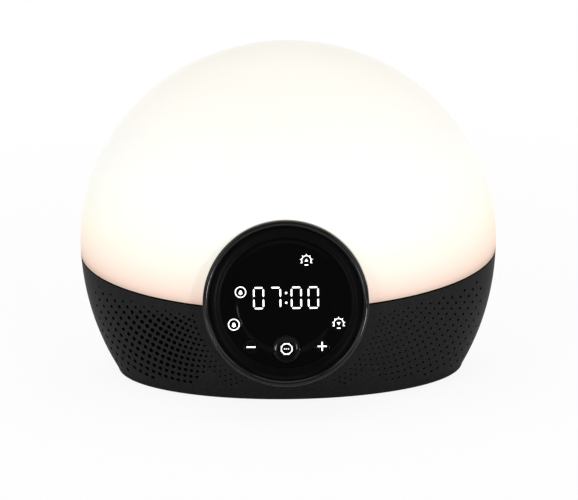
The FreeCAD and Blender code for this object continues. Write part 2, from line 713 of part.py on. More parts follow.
def outline(sketch, points):
    """A closed outline. A point is (name, x, y), and where an arc leaves it, its (radius, side) come after."""
    spots = [V(sheet_value(p[1]), sheet_value(p[2]), 0) for p in points]
    ends = []
    for k, point in enumerate(points):
        start, end = spots[k], spots[(k + 1) % len(spots)]
        if len(point) == 3:
            sketch.addGeometry(Part.LineSegment(start, end))
            ends.append((1, 2))
            continue
        radius, side = point[3]
        sketch.addGeometry(arc_between(start, end, sheet_value(radius), side))
        ends.append((1, 2) if side > 0 else (2, 1))
    for k in range(len(points)):
        after = (k + 1) % len(points)
        sketch.addConstraint(Sketcher.Constraint("Coincident", k, ends[k][1], after, ends[after][0]))
    for k, point in enumerate(points):
        fix_point(sketch, k, ends[k][0], point[0], point[1], point[2])
        if len(point) == 4:
            radius = point[3][0]
            held = sketch.addConstraint(Sketcher.Constraint("Radius", k, sheet_value(radius)))
            sketch.renameConstraint(held, point[0] + "_radius")
            sketch.setExpression(f"Constraints.{point[0]}_radius", sheeted(radius))


def circles(sketch, spots, radius):
    """Circles of one radius at named spots."""
    for k, (name, x, y) in enumerate(spots):
        number = sketch.GeometryCount
        middle = V(sheet_value(x), sheet_value(y), 0)
        sketch.addGeometry(Part.Circle(middle, V(0, 0, 1), sheet_value(radius)))
        fix_point(sketch, number, 3, name, x, y)
        held = sketch.addConstraint(Sketcher.Constraint("Radius", number, sheet_value(radius)))
        sketch.renameConstraint(held, f"{name}_radius")
        sketch.setExpression(f"Constraints.{name}_radius", sheeted(radius))


def turned(name, points):
    """A body turned about its own Z axis from an outline of (name, radius, height)."""
    body = doc.addObject("PartDesign::Body", name)
    sketch = new_sketch(body, name + "_outline", "XZ_Plane")
    outline(sketch, points)
    turning = body.newObject("PartDesign::Revolution", name + "_turning")
    turning.Profile = sketch
    turning.ReferenceAxis = (sketch, ["V_Axis"])
    turning.Angle = 360
    doc.recompute()
    return body


def pocket(body, name, lift, draw, depth, away=False):
    """Cuts what draw sketches on a plane at a height, to a depth below it or above it."""
    sketch = new_sketch(body, name + "_sketch", "XY_Plane", lift)
    draw(sketch)
    cut = body.newObject("PartDesign::Pocket", name)
    cut.Profile = sketch
    cut.Reversed = away
    before = body.Shape.Volume
    bind(cut, Length=depth)
    doc.recompute()
    if not body.Shape.Volume < before:
        raise RuntimeError(f"{name} cuts nothing")
    return cut


def pad(body, name, lift, draw, depth, away=False):
    """Adds what draw sketches on a plane at a height, with a length over it or under it."""
    sketch = new_sketch(body, name + "_sketch", "XY_Plane", lift)
    draw(sketch)
    added = body.newObject("PartDesign::Pad", name)
    added.Profile = sketch
    added.Reversed = away
    bind(added, Length=depth)
    doc.recompute()
    return added


def on_circle(circle, count, first=0):
    """Named spots evenly round a circle, as expressions."""
    spots = []
    for k in range(count):
        angle = first + k * 360 / count
        spots.append((f"spot{k}", f"{circle} * cos({angle} * 1 deg)", f"{circle} * sin({angle} * 1 deg)"))
    return spots


def half_spots(spots):
    """Spots with the ones that lie on an axis written as lying on it."""
    return [(name, *("0" if abs(sheet_value(place)) < 1e-6 else place for place in (x, y))) for name, x, y in spots]


# Keys: name, place in the drum's plane, and whether it is the large one
KEYS = {
    "select_button": ("0", "0 - select_offset"),
    "minus_button": ("0 - key_circle * sin(inner_key_angle * 1 deg)", "0 - key_circle * cos(inner_key_angle * 1 deg)"),
    "plus_button": ("key_circle * sin(inner_key_angle * 1 deg)", "0 - key_circle * cos(inner_key_angle * 1 deg)"),
    "alarm_button": ("0 - key_circle * sin(outer_key_angle * 1 deg)", "0 - key_circle * cos(outer_key_angle * 1 deg)"),
    "sunset_button": ("key_circle * sin(outer_key_angle * 1 deg)", "0 - key_circle * cos(outer_key_angle * 1 deg)"),
}
SMALL_KEYS = [(name, *KEYS[name]) for name in KEYS if name != "select_button"]
SELECT_KEY = [("select_button", *KEYS["select_button"])]

# Control drum: a thin turned drum with a rounded lip, a hollow bowl and the ledge that the face rests on
drum = turned("control_drum", [
    ("back_outer", "drum_radius", "0 - drum_length"),
    ("lip_outer", "drum_radius", "0 - lip_round", ("lip_round", 1)),
    ("lip_top", "lip_circle", "0", ("lip_round", 1)),
    ("lip_inner", "bowl_outer", "0 - lip_round", ("bowl_round", -1)),
    ("bowl_edge", "bowl_radius", "0 - bowl_depth"),
    ("seat_edge", "face_radius + face_clearance", "0 - bowl_depth"),
    ("seat", "face_radius + face_clearance", "0 - seat_depth"),
    ("ledge_edge", "face_radius - ledge_width", "0 - seat_depth"),
    ("ledge_back_edge", "face_radius - ledge_width", "0 - ledge_back"),
    ("under_bowl", "bowl_radius + bowl_wall / 2", "0 - ledge_back"),
    ("under_bowl_top", "bowl_radius + bowl_wall / 2", "0 - seat_depth"),
    ("wall_top", "drum_bore", "0 - lip_round - bowl_wall - bowl_wall / 2"),
    ("back_inner", "drum_bore", "0 - drum_length"),
])
pad(drum, "board_bosses", "0 - control_board_depth",
    lambda s: circles(s, half_spots(on_circle("board_boss_circle", 4)[:3]), "board_boss_radius"),
    "control_board_depth - seat_depth")
pad(drum, "back_bosses", "0 - drum_length",
    lambda s: circles(s, on_circle("drum_boss_circle", 4, 45), "boss_radius"), "drum_boss_length")
pocket(drum, "flange_rooms", "0 - ledge_back",
       lambda s: circles(s, half_spots(SMALL_KEYS), "key_radius + key_flange + key_clearance"),
       "ledge_thick", away=True)
pocket(drum, "select_flange_room", "0 - ledge_back",
       lambda s: circles(s, SELECT_KEY, "select_radius + key_flange + key_clearance"), "ledge_thick", away=True)
pocket(drum, "board_screw_holes", "0 - control_board_depth",
       lambda s: circles(s, half_spots(on_circle("board_boss_circle", 4)[:3]), "screw_shank + screw_room"),
       "control_board_depth - seat_depth", away=True)
pocket(drum, "back_screw_holes", "0 - drum_length",
       lambda s: circles(s, on_circle("drum_boss_circle", 4, 45), "screw_shank + screw_room"),
       "drum_boss_length", away=True)
node(place(drum, DRUM_LOCAL), "control_drum")

# Glossy face: flat in the middle, with a shallow dished ring that the flush keys lie in
face = turned("display_face", [
    ("back_middle", "0", "0 - seat_depth"),
    ("back_edge", "face_radius", "0 - seat_depth"),
    ("front_edge", "face_radius", "0 - face_depth"),
    ("dish_end", "dish_outer", "0 - face_depth", ("dish_round", -1)),
    ("dish_start", "dish_inner", "0 - face_depth"),
    ("front_middle", "0", "0 - face_depth"),
])
pocket(face, "key_holes", "0 - face_depth",
       lambda s: circles(s, half_spots(SMALL_KEYS), "key_radius + key_clearance"), "face_thick")
pocket(face, "select_hole", "0 - face_depth",
       lambda s: circles(s, SELECT_KEY, "select_radius + key_clearance"), "face_thick")
node(place(face, DRUM_LOCAL), "display_face")


def key(name, top, middle, radius, flange, travel, ring_width):
    """A key: a cap with a hollow top, a flange that stays behind the face, and a stem over its switch."""
    points = [
        ("stem_middle", "0", f"0 - control_board_depth + switch_thick + plunger_rise + plunger_gap + {travel}"),
        ("stem_edge", "key_stem_radius",
         f"0 - control_board_depth + switch_thick + plunger_rise + plunger_gap + {travel}"),
        ("stem_top", "key_stem_radius", "0 - seat_depth - key_rest_gap - key_flange_thick"),
        ("flange_under", f"{radius} + {flange}", "0 - seat_depth - key_rest_gap - key_flange_thick"),
        ("flange_over", f"{radius} + {flange}", "0 - seat_depth - key_rest_gap"),
        ("cap_under", radius, "0 - seat_depth - key_rest_gap"),
        ("cap_edge", radius, f"0 - face_depth + {top}"),
        ("ring_edge", f"{radius} - {ring_width}", f"0 - face_depth + {top}"),
        ("cap_middle", "0", f"0 - face_depth + {middle}"),
    ]
    return turned(name, points)


for name, (key_x, key_y) in KEYS.items():
    if name == "select_button":
        button = key(name, "select_rise", "select_rise - select_dish - select_rise", "select_radius",
                     "key_flange", "select_travel", "select_ring")
    else:
        button = key(name, "0 - key_drop", "0 - key_drop - key_dish", "key_radius",
                     "key_flange", "key_travel", "key_clearance")
    spot_x, spot_y = sheet_value(key_x), sheet_value(key_y)
    node(place(button, DRUM_LOCAL, V(spot_x, spot_y, 0)), name)

# Control board and what it carries


def plain_disc(name, radius, low, thick):
    """A body that is one round plate, padded up from a plane."""
    body = doc.addObject("PartDesign::Body", name)
    pad(body, name + "_plate", low, lambda s: circles(s, [("middle", "0", "0")], radius), thick)
    return body


control_board = plain_disc("control_board", "control_board_radius", "0 - board_back", "board_thick")
pocket(control_board, "control_board_holes", "0 - control_board_depth",
       lambda s: circles(s, half_spots(on_circle("board_boss_circle", 4)[:3]), "screw_shank + screw_room"),
       "board_thick")
node(place(control_board, DRUM_LOCAL), "control_board")


def block(name, width, depth, thick, local, middle_x, middle_y, low):
    """A Part box bound to the sheet, centred at a spot of a place and standing on a height."""
    box = doc.addObject("Part::Box", name)
    bind(box, Length=width, Width=depth, Height=thick)
    corner = V(middle_x - sheet_value(width) / 2, middle_y - sheet_value(depth) / 2, low)
    return place(box, local, corner)


def cylinder(name, radius, height, local, x, y, low):
    """A Part cylinder bound to the sheet, standing at a spot of a place."""
    solid = doc.addObject("Part::Cylinder", name)
    bind(solid, Radius=radius, Height=height)
    return place(solid, local, V(x, y, low))


def fused(name, pieces):
    """One solid from pieces that touch."""
    whole = doc.addObject("Part::MultiFuse", name)
    whole.Shapes = pieces
    return whole


def group(name, pieces):
    """Separate solids that share one node."""
    whole = doc.addObject("Part::Compound", name)
    whole.Links = pieces
    return whole


board_front = -v("control_board_depth")
node(block("display_module", "module_width", "module_height", "control_board_depth - seat_depth - module_gap",
           DRUM_LOCAL, 0, v("module_offset"), board_front), "display_module")

switches = []
for number, (key_x, key_y) in enumerate(KEYS.values()):
    x, y = sheet_value(key_x), sheet_value(key_y)
    case = block(f"switch_case_{number}", "switch_side", "switch_side", "switch_thick", DRUM_LOCAL, x, y, board_front)
    plunger = cylinder(f"switch_plunger_{number}", "plunger_radius", "plunger_rise", DRUM_LOCAL, x, y,
                       board_front + v("switch_thick"))
    switches.append(fused(f"key_switch_{number}", [case, plunger]))
node(group("key_switches", switches), "key_switches")

ICON_SPOTS = ((-21.7, 5.4), (10, 20.2))
icon_lamps = [
    block(f"icon_lamp_{k}", "icon_side", "icon_side", "icon_thick", DRUM_LOCAL, x, y, board_front)
    for k, (x, y) in enumerate(ICON_SPOTS)
]
node(group("icon_lamps", icon_lamps), "icon_lamps")

# Plate behind the drum, with a tab below for the two screws into the base
backplate = plain_disc("drum_backplate", "drum_radius", "0 - drum_length - backplate_thick", "backplate_thick")


def tab_outline(sketch):
    """The tab's rectangle, from inside the disc down past the screws."""
    outline(sketch, [
        ("low_left", "0 - ear_spread - ear_margin", "0 - ear_drop - ear_margin"),
        ("low_right", "ear_spread + ear_margin", "0 - ear_drop - ear_margin"),
        ("high_right", "ear_spread + ear_margin", "0 - ear_drop / 2"),
        ("high_left", "0 - ear_spread - ear_margin", "0 - ear_drop / 2"),
    ])


pad(backplate, "backplate_tab", "0 - drum_length - backplate_thick", tab_outline, "backplate_thick")
EAR_SPOTS = [("left_ear", "0 - ear_spread", "0 - ear_drop"), ("right_ear", "ear_spread", "0 - ear_drop")]
pocket(backplate, "ear_holes", "0 - drum_length", lambda s: circles(s, EAR_SPOTS, "screw_shank + screw_room"),
       "backplate_thick")
pocket(backplate, "plate_screw_holes", "0 - drum_length",
       lambda s: circles(s, on_circle("drum_boss_circle", 4, 45), "screw_shank + screw_room"), "backplate_thick")
pocket(backplate, "lead_way", "0 - drum_length",
       lambda s: circles(s, [("lead", "0", "0 - lead_drop")], "lead_hole"), "backplate_thick")
node(place(backplate, DRUM_LOCAL), "drum_backplate")

# Light tray: a white dish in the seam with an upturned rim, notched for the drum
tray_form = inner_form(v("tray_inset"), v("floor_top"))
tray_hollow = inner_form(v("tray_inset") + v("tray_thick"), v("floor_top")).common(seam_side(True, v("tray_top")))
tray_solid = tray_form.common(seam_side(True, tray_under))
tray_solid = tray_solid.common(seam_side(False, v("tray_top") + v("tray_rim"))).cut(tray_hollow)
light_lead_spot = spot(LAMP_LOCAL, v("light_board_radius") / 2, 0, 0)
light_lead_hole = Part.makeCylinder(v("boss_radius"), v("drum_length"), V(0, 0, -v("drum_length") / 2))
light_lead_hole.Placement = light_lead_spot
tray_cuts = [drum_rod(v("drum_radius") + v("tray_gap") * 2), light_lead_hole]
for label in ("tray_screws", "light_board_screws"):
    tray_cuts += [screw_room(p) for p in SCREWS[label]]
reflector_tray = doc.addObject("Part::Feature", "reflector_tray")
reflector_tray.Shape = tray_solid.cut(tray_cuts)
node(at_axis(reflector_tray), "reflector_tray")

# Light board on its heat spreader
heat_spreader = plain_disc("heat_spreader", "spreader_radius", "tray_top", "spreader_thick")
pocket(heat_spreader, "spreader_holes", "tray_top + spreader_thick",
       lambda s: circles(s, on_circle("light_screw_circle", 4, 45), "screw_shank + screw_room"), "spreader_thick")
pocket(heat_spreader, "spreader_lead_way", "tray_top + spreader_thick",
       lambda s: circles(s, [("lead", "light_board_radius / 2", "0")], "boss_radius"), "spreader_thick")
node(place(heat_spreader, LAMP_LOCAL), "heat_spreader")
light_board = plain_disc("light_board", "light_board_radius", "tray_top + spreader_thick", "board_thick")
pocket(light_board, "light_board_holes", "tray_top + spreader_thick + board_thick",
       lambda s: circles(s, on_circle("light_screw_circle", 4, 45), "screw_shank + screw_room"), "board_thick")
node(place(light_board, LAMP_LOCAL), "light_board")
emitter_floor = v("tray_top") + v("spreader_thick") + v("board_thick")
emitters = []
for circle, count in (("emitter_ring_outer", "emitters_outer"), ("emitter_ring_inner", "emitters_inner")):
    for k in range(int(v(count))):
        turn = 2 * math.pi * (k + 0.5) / v(count)
        x, y = v(circle) * math.cos(turn), v(circle) * math.sin(turn)
        emitters.append(block(f"{circle}_{k}", "emitter_side", "emitter_side", "emitter_thick", LAMP_LOCAL, x, y,
                              emitter_floor))
node(group("light_emitters", emitters), "light_emitters")

# Speaker: cloth, gasket, basket, cone and magnet, stacked behind the collar along the speaker's own axis
cloth = plain_disc("speaker_cloth", "speaker_screw_circle - 2 * screw_shank", "0 - speaker_depth - cloth_thick",
                   "cloth_thick")
node(place(cloth, SPEAKER_LOCAL), "speaker_cloth")
gasket = turned("speaker_gasket", [
    ("low_outer", "speaker_radius", "0 - speaker_depth - cloth_thick - gasket_thick"),
    ("high_outer", "speaker_radius", "0 - speaker_depth - cloth_thick"),
    ("high_inner", "cone_radius", "0 - speaker_depth - cloth_thick"),
    ("low_inner", "cone_radius", "0 - speaker_depth - cloth_thick - gasket_thick"),
])
pocket(gasket, "gasket_holes", "0 - speaker_depth",
       lambda s: circles(s, on_circle("speaker_screw_circle", 4, 45), "screw_shank + screw_room"),
       "flange_face")
node(place(gasket, SPEAKER_LOCAL), "speaker_gasket")
basket = turned("speaker_basket", [
    ("back_middle", "cone_thick", "0 - flange_face - basket_depth"),
    ("back_edge", "magnet_radius", "0 - flange_face - basket_depth"),
    ("flange_under", "cone_radius + cone_thick", "0 - flange_face - speaker_flange"),
    ("flange_low", "speaker_radius", "0 - flange_face - speaker_flange"),
    ("flange_high", "speaker_radius", "0 - flange_face"),
    ("mouth", "cone_radius", "0 - flange_face"),
    ("inner_edge", "magnet_radius - speaker_flange", "0 - flange_face - basket_depth + speaker_flange"),
    ("inner_middle", "cone_thick", "0 - flange_face - basket_depth + speaker_flange"),
])
pocket(basket, "basket_holes", "0 - flange_face",
       lambda s: circles(s, on_circle("speaker_screw_circle", 4, 45), "screw_shank + screw_room"), "speaker_flange")
node(place(basket, SPEAKER_LOCAL), "speaker_basket")
cone = turned("speaker_cone", [
    ("low_middle", "0", "0 - flange_face - cone_depth"),
    ("low_edge", "cone_radius / 3", "0 - flange_face - cone_depth"),
    ("low_rim", "cone_radius - cone_gap", "0 - flange_face - cone_thick"),
    ("high_rim", "cone_radius - cone_gap", "0 - flange_face"),
    ("high_edge", "cone_radius / 3", "0 - flange_face - cone_depth + cone_thick"),
    ("high_middle", "0", "0 - flange_face - cone_depth + cone_thick"),
])
node(place(cone, SPEAKER_LOCAL), "speaker_cone")
node(cylinder("speaker_magnet", "magnet_radius", "magnet_thick", SPEAKER_LOCAL, 0, 0,
              -sheet_value("flange_face + basket_depth + magnet_thick")), "speaker_magnet")

# Bottom cover: a plate in the base's rebate, with posts for the main board, vent slots and recesses for the feet
BOARD_MIDDLE_Y = v("main_board_depth") / 2 - v("main_board_front")
BOARD_SPOTS = [
    (sx * (v("main_board_width") / 2 - v("main_board_margin")),
     BOARD_MIDDLE_Y + sy * (v("main_board_depth") / 2 - v("main_board_margin")))
    for sx in (-1, 1) for sy in (-1, 1)
]
FOOT_SPOTS = [
    (side * v("foot_front_x"), -v("foot_front_y")) for side in (-1, 1)
] + [
    (side * v("foot_rear_x"), v("foot_rear_y")) for side in (-1, 1)
]
cover_top = floor_height + v("cover_thick")
post_top = cover_top + v("main_board_lift")
board_top = post_top + v("board_thick")
SCREWS["main_board_screws"] = [
    FreeCAD.Placement(V(x, y, board_top), FreeCAD.Rotation()) for x, y in BOARD_SPOTS
]
cover_solid = plan_section(v("floor_rim") + v("cover_gap"), floor_height).extrude(V(0, 0, v("cover_thick")))
posts = [Part.makeCylinder(v("boss_radius"), post_top - floor_height, V(x, y, floor_height)) for x, y in BOARD_SPOTS]
cover_solid = cover_solid.fuse(posts)
cover_cuts = [Part.makeCylinder(v("foot_radius"), v("foot_recess"), V(x, y, floor_height)) for x, y in FOOT_SPOTS]
screw_end = board_top - v("screw_length") - v("screw_tip_room")
head_room = v("screw_head") + v("screw_room")
cover_cuts += [
    Part.makeCylinder(head_room, v("head_recess"), V(p.Base.x, p.Base.y, floor_height)) for p in SCREWS["cover_screws"]
]
cover_cuts += [screw_room(p) for p in SCREWS["cover_screws"]]
cover_cuts += [
    Part.makeCylinder(v("screw_shank") + v("screw_room"), post_top, V(x, y, screw_end)) for x, y in BOARD_SPOTS
]
for k in range(int(v("vents"))):
    slot_y = (k - (v("vents") - 1) / 2) * v("vent_step") + BOARD_MIDDLE_Y
    slot = Part.makeBox(v("vent_length"), v("vent_width"), v("cover_thick"),
                        V(-v("vent_length") / 2, slot_y - v("vent_width") / 2, floor_height))
    cover_cuts.append(slot)
bottom_cover = doc.addObject("Part::Feature", "bottom_cover")
bottom_cover.Shape = cover_solid.cut(cover_cuts).removeSplitter()
node(at_axis(bottom_cover), "bottom_cover")

LEVEL = FreeCAD.Placement()
feet = [
    cylinder(f"rubber_foot_{k}", "foot_radius", "foot_lift + foot_recess", LEVEL, x, y, 0)
    for k, (x, y) in enumerate(FOOT_SPOTS)
]
node(group("rubber_feet", feet), "rubber_feet")

# Main board on the cover's posts, with its larger parts
main_board = doc.addObject("PartDesign::Body", "main_board")


def board_outline(sketch):
    """The main board's rectangle about its own middle."""
    outline(sketch, [
        ("low_left", "0 - main_board_width / 2", "0 - main_board_depth / 2"),
        ("low_right", "main_board_width / 2", "0 - main_board_depth / 2"),
        ("high_right", "main_board_width / 2", "main_board_depth / 2"),
        ("high_left", "0 - main_board_width / 2", "main_board_depth / 2"),
    ])


pad(main_board, "main_board_plate", "0", board_outline, "board_thick")
HOLE_X = "(main_board_width / 2 - main_board_margin)"
HOLE_Y = "(main_board_depth / 2 - main_board_margin)"
BOARD_HOLES = [
    ("front_left", f"0 - {HOLE_X}", f"0 - {HOLE_Y}"), ("front_right", HOLE_X, f"0 - {HOLE_Y}"),
    ("rear_left", f"0 - {HOLE_X}", HOLE_Y), ("rear_right", HOLE_X, HOLE_Y),
]
pocket(main_board, "main_board_holes", "board_thick",
       lambda s: circles(s, BOARD_HOLES, "screw_shank + screw_room"), "board_thick")
node(place(main_board, LEVEL, V(0, BOARD_MIDDLE_Y, post_top)), "main_board")

DISPLAY_END = (0, -v("main_board_front") + v("connector_width"))
LIGHT_END = (v("main_board_width") / 4, BOARD_MIDDLE_Y)
SPEAKER_END = (-v("main_board_width") / 3, -v("main_board_front") + v("connector_width"))
POWER_END_Y = BOARD_MIDDLE_Y + v("main_board_depth") / 4
board_parts = [
    block(f"connector_{k}", "connector_length", "connector_width", "connector_rise", LEVEL, x, y, board_top)
    for k, (x, y) in enumerate((DISPLAY_END, LIGHT_END, SPEAKER_END))
]
board_parts += [
    block("power_connector", "connector_length", "connector_width", "power_connector_height", LEVEL, 0, POWER_END_Y,
          board_top),
    block("main_chip", "chip_side", "chip_side", "chip_thick", LEVEL, -v("chip_side"), BOARD_MIDDLE_Y, board_top),
    cylinder("capacitor_left", "can_radius", "can_height", LEVEL, -v("parts_spread"),
             BOARD_MIDDLE_Y + v("can_radius"), board_top),
    cylinder("capacitor_right", "can_radius", "can_height", LEVEL, v("parts_spread"),
             BOARD_MIDDLE_Y - v("can_radius") * 2, board_top),
    cylinder("coil", "coil_radius", "coil_height", LEVEL, v("parts_spread"),
             BOARD_MIDDLE_Y + v("coil_radius"), board_top),
]
node(group("main_board_parts", board_parts), "main_board_parts")

# Power socket in the rear wall: a square body, a round nose through the wall, and a centre contact in a blind bore
rear_share = math.sqrt(1 - ((v("equator_height") - v("jack_height")) / v("lower_reach")) ** 2)
mouth = v("rear_depth") * rear_share - v("jack_sunk")
JACK = FreeCAD.Placement(V(0, mouth, v("jack_height")), FreeCAD.Rotation(V(1, 0, 0), -90))
jack_body = block("jack_body", "jack_side", "jack_side", "jack_length", JACK, 0, 0, -v("jack_nose") - v("jack_length"))
jack_nose = cylinder("jack_nose_solid", "jack_radius", "jack_nose", JACK, 0, 0, -v("jack_nose"))
jack_bore = cylinder("jack_bore_room", "jack_bore", "jack_depth", JACK, 0, 0, -v("jack_depth"))
jack_contact = cylinder("jack_contact", "jack_pin", "jack_depth - jack_pin_back", JACK, 0, 0, -v("jack_depth"))
jack_shell = fused("jack_shell", [jack_body, jack_nose])
jack_hollow = doc.addObject("Part::Cut", "jack_hollow")
jack_hollow.Base = jack_shell
jack_hollow.Tool = jack_bore
node(jack_hollow, "power_jack")
node(jack_contact, "jack_contact")

# Screws, all of one kind


def screw_solid(head_place):
    """A screw: a round head over a plain shank."""
    head = Part.makeCylinder(v("screw_head"), v("screw_head_thick"))
    shank = Part.makeCylinder(v("screw_shank"), v("screw_length"), V(0, 0, -v("screw_length")))
    screw = head.fuse(shank).removeSplitter()
    screw.Placement = head_place
    return screw


for label, heads in SCREWS.items():
    screws = doc.addObject("Part::Feature", label)
    screws.Shape = Part.makeCompound([screw_solid(p) for p in heads])
    node(at_axis(screws), label)

# Inner leads: straight runs joined by arcs as large as the runs allow


def lead(name, points):
    """A round lead along a route."""
    edges = []
    previous = points[0]
    for k in range(1, len(points) - 1):
        corner = points[k]
        before, after = corner - points[k - 1], points[k + 1] - corner
        turn = before.getAngle(after)
        cut = 0.45 * min(before.Length, after.Length)
        radius = cut / math.tan(turn / 2)
        start = corner - V(before).normalize() * cut
        end = corner + V(after).normalize() * cut
        bisector = (V(after).normalize() - V(before).normalize()).normalize()
        middle = corner + bisector * (radius / math.cos(turn / 2) - radius)
        edges += [Part.makeLine(previous, start), Part.Arc(start, middle, end).toShape()]
        previous = end
    edges.append(Part.makeLine(previous, points[-1]))
    path = Part.Wire(edges)
    circle = Part.makeCircle(v("lead_radius"), points[0], points[1] - points[0])
    tube = path.makePipeShell([Part.Wire([circle])], True, False)
    length = sum(edge.Length for edge in path.Edges)
    expected = math.pi * v("lead_radius") ** 2 * length
    if abs(tube.Volume / expected - 1) > 0.01:
        raise RuntimeError(f"{name} has the wrong volume")
    wire = doc.addObject("Part::Feature", name)
    wire.Shape = tube
    node(at_axis(wire), name)


connector_top = board_top + v("connector_rise")
board_exit = DRUM_LOCAL.multVec(V(0, -v("lead_drop"), -v("board_back")))
behind = DRUM_TURN.multVec(V(0, 0, -1))
display_x, display_y = DISPLAY_END
bend = board_exit + behind * ((display_y - board_exit.y) / behind.y)
lead("display_lead", [board_exit, bend, V(display_x, display_y, connector_top)])
light_x, light_y = LIGHT_END
light_exit = LAMP_LOCAL.multVec(V(v("light_board_radius") / 2, 0, v("tray_top") + v("spreader_thick")))
light_down = LAMP_LOCAL.Rotation.multVec(V(0, 0, -1))
light_turn = light_exit + light_down * v("drum_length") / 2
lead("light_lead", [light_exit, light_turn, V(light_x, light_y, connector_top + v("can_height")),
                    V(light_x, light_y, connector_top)])
speaker_x, speaker_y = SPEAKER_END
magnet_back = -sheet_value("flange_face + basket_depth + magnet_thick")
speaker_exit = SPEAKER_LOCAL.multVec(V(0, 0, magnet_back))
speaker_back = SPEAKER_TURN.multVec(V(0, 0, -1))
lead("speaker_lead", [speaker_exit, speaker_exit + speaker_back * v("can_height"),
                      V(speaker_x, speaker_y, connector_top + v("can_height")),
                      V(speaker_x, speaker_y, connector_top)])
jack_back = mouth - v("jack_nose") - v("jack_length")
lead("power_lead", [V(0, jack_back, v("jack_height")), V(0, POWER_END_Y + v("connector_width") / 2, v("jack_height"))])

# Every object has to be sound before anything is written
doc.recompute()
for obj in doc.Objects:
    if "Invalid" in obj.State or "Error" in obj.State:
        raise RuntimeError(f"{obj.Name} failed to compute")
os.makedirs("parts", exist_ok=True)
for label, obj in NODES.items():
    shape = obj.Shape
    if shape.isNull() or not shape.isValid():
        raise RuntimeError(f"{label} has no sound shape")
    shape.exportStep(f"parts/{label}.step")
print(f"{len(NODES)} nodes")
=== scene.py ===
import math

import bmesh
import bpy
from mathutils import Matrix, Vector
from mathutils.geometry import delaunay_2d_cdt

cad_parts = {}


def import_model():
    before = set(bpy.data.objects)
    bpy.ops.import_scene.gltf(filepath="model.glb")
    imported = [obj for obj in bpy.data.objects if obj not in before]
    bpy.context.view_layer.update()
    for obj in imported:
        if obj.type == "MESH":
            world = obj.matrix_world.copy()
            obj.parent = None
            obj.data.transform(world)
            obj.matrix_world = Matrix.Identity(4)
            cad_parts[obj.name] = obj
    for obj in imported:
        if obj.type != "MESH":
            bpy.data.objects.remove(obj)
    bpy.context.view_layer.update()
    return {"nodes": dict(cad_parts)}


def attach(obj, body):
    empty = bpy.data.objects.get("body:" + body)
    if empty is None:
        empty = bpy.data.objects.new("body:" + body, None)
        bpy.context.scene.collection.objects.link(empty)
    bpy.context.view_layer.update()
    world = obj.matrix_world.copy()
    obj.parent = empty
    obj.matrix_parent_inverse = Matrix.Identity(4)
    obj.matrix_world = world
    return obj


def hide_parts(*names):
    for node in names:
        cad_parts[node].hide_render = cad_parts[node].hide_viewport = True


# A bedside sunrise lamp with an alarm clock. Lengths are in millimetres and become metres in the meshes.

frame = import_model()
NODES = frame["nodes"]
MM = 0.001

# Sizes of the body, as in the CAD model, about its vertical axis
HALF_WIDTH = 106
FRONT_DEPTH = 60
REAR_DEPTH = 48
EQUATOR = 67
LOWER_REACH = 120
WALL = 2.5
COVER_THICK = 2
SEAM_HEIGHT = 65
SEAM_SLOPE = math.tan(math.radians(14))
AXIS_SHIFT = 14.4145
JACK_HEIGHT = 15
JACK_HOLE = 4.3

# The foot, a little lower and tighter than in the CAD model
FOOT_LIFT = 0.3
EDGE_ROUND = 3
EDGE_RISE = 0.86
EDGE_INSET = 0.9
FOOT_RIM = 8

# The control drum, whose heights count outward from its lip
DRUM_TILT = math.radians(13)
DRUM_CENTRE = Vector((0, -68.2, 56.2))
DRUM_RADIUS = 39.6
DRUM_GAP = 0.3
DRUM_LENGTH = 36
LIP_ROUND = 1.4
BOWL_ROUND = 4.6
BOWL_RADIUS = 32.4
BOWL_FLOOR = -4.2
SEAT_RADIUS = 31.15
SEAT_FLOOR = -6.9
LEDGE_RADIUS = 29
LEDGE_BACK = -8.7
INNER_RADIUS = 37.4
FACE_RADIUS = 31
FACE_LEVEL = -4.7

DRUM_RIGHT = Vector((1, 0, 0))
DRUM_UP = Vector((0, math.sin(DRUM_TILT), math.cos(DRUM_TILT)))
DRUM_OUT = Vector((0, -math.cos(DRUM_TILT), math.sin(DRUM_TILT)))


def world(point):
    """A point given about the body's axis in millimetres, in the frame's metres."""
    return Vector((point[0], point[1] + AXIS_SHIFT, point[2])) * MM


def on_drum(x, y, z):
    """A point of the drum's own directions, about the body's axis."""
    return DRUM_CENTRE + DRUM_RIGHT * x + DRUM_UP * y + DRUM_OUT * z


# Camera, from the photograph's own perspective
CAMERA_RIGHT_TURN = math.radians(-1.309)
CAMERA_RISE = math.radians(14.758)
CAMERA_ROLL = math.radians(1.092)
CAMERA_DISTANCE = 850
CAMERA_TARGET = Vector((0, 0, 85))
FOCAL_PIXELS = 1669.9
CENTRE_PIXEL = (287.19, 208.39)
IMAGE = (578, 500)
SENSOR = 36


def turned_back(p):
    """A direction of the camera's own turned frame in the lamp's directions."""
    c, s = math.cos(CAMERA_RIGHT_TURN), math.sin(CAMERA_RIGHT_TURN)
    return Vector((p[0] * c + p[1] * s, -p[0] * s + p[1] * c, p[2]))


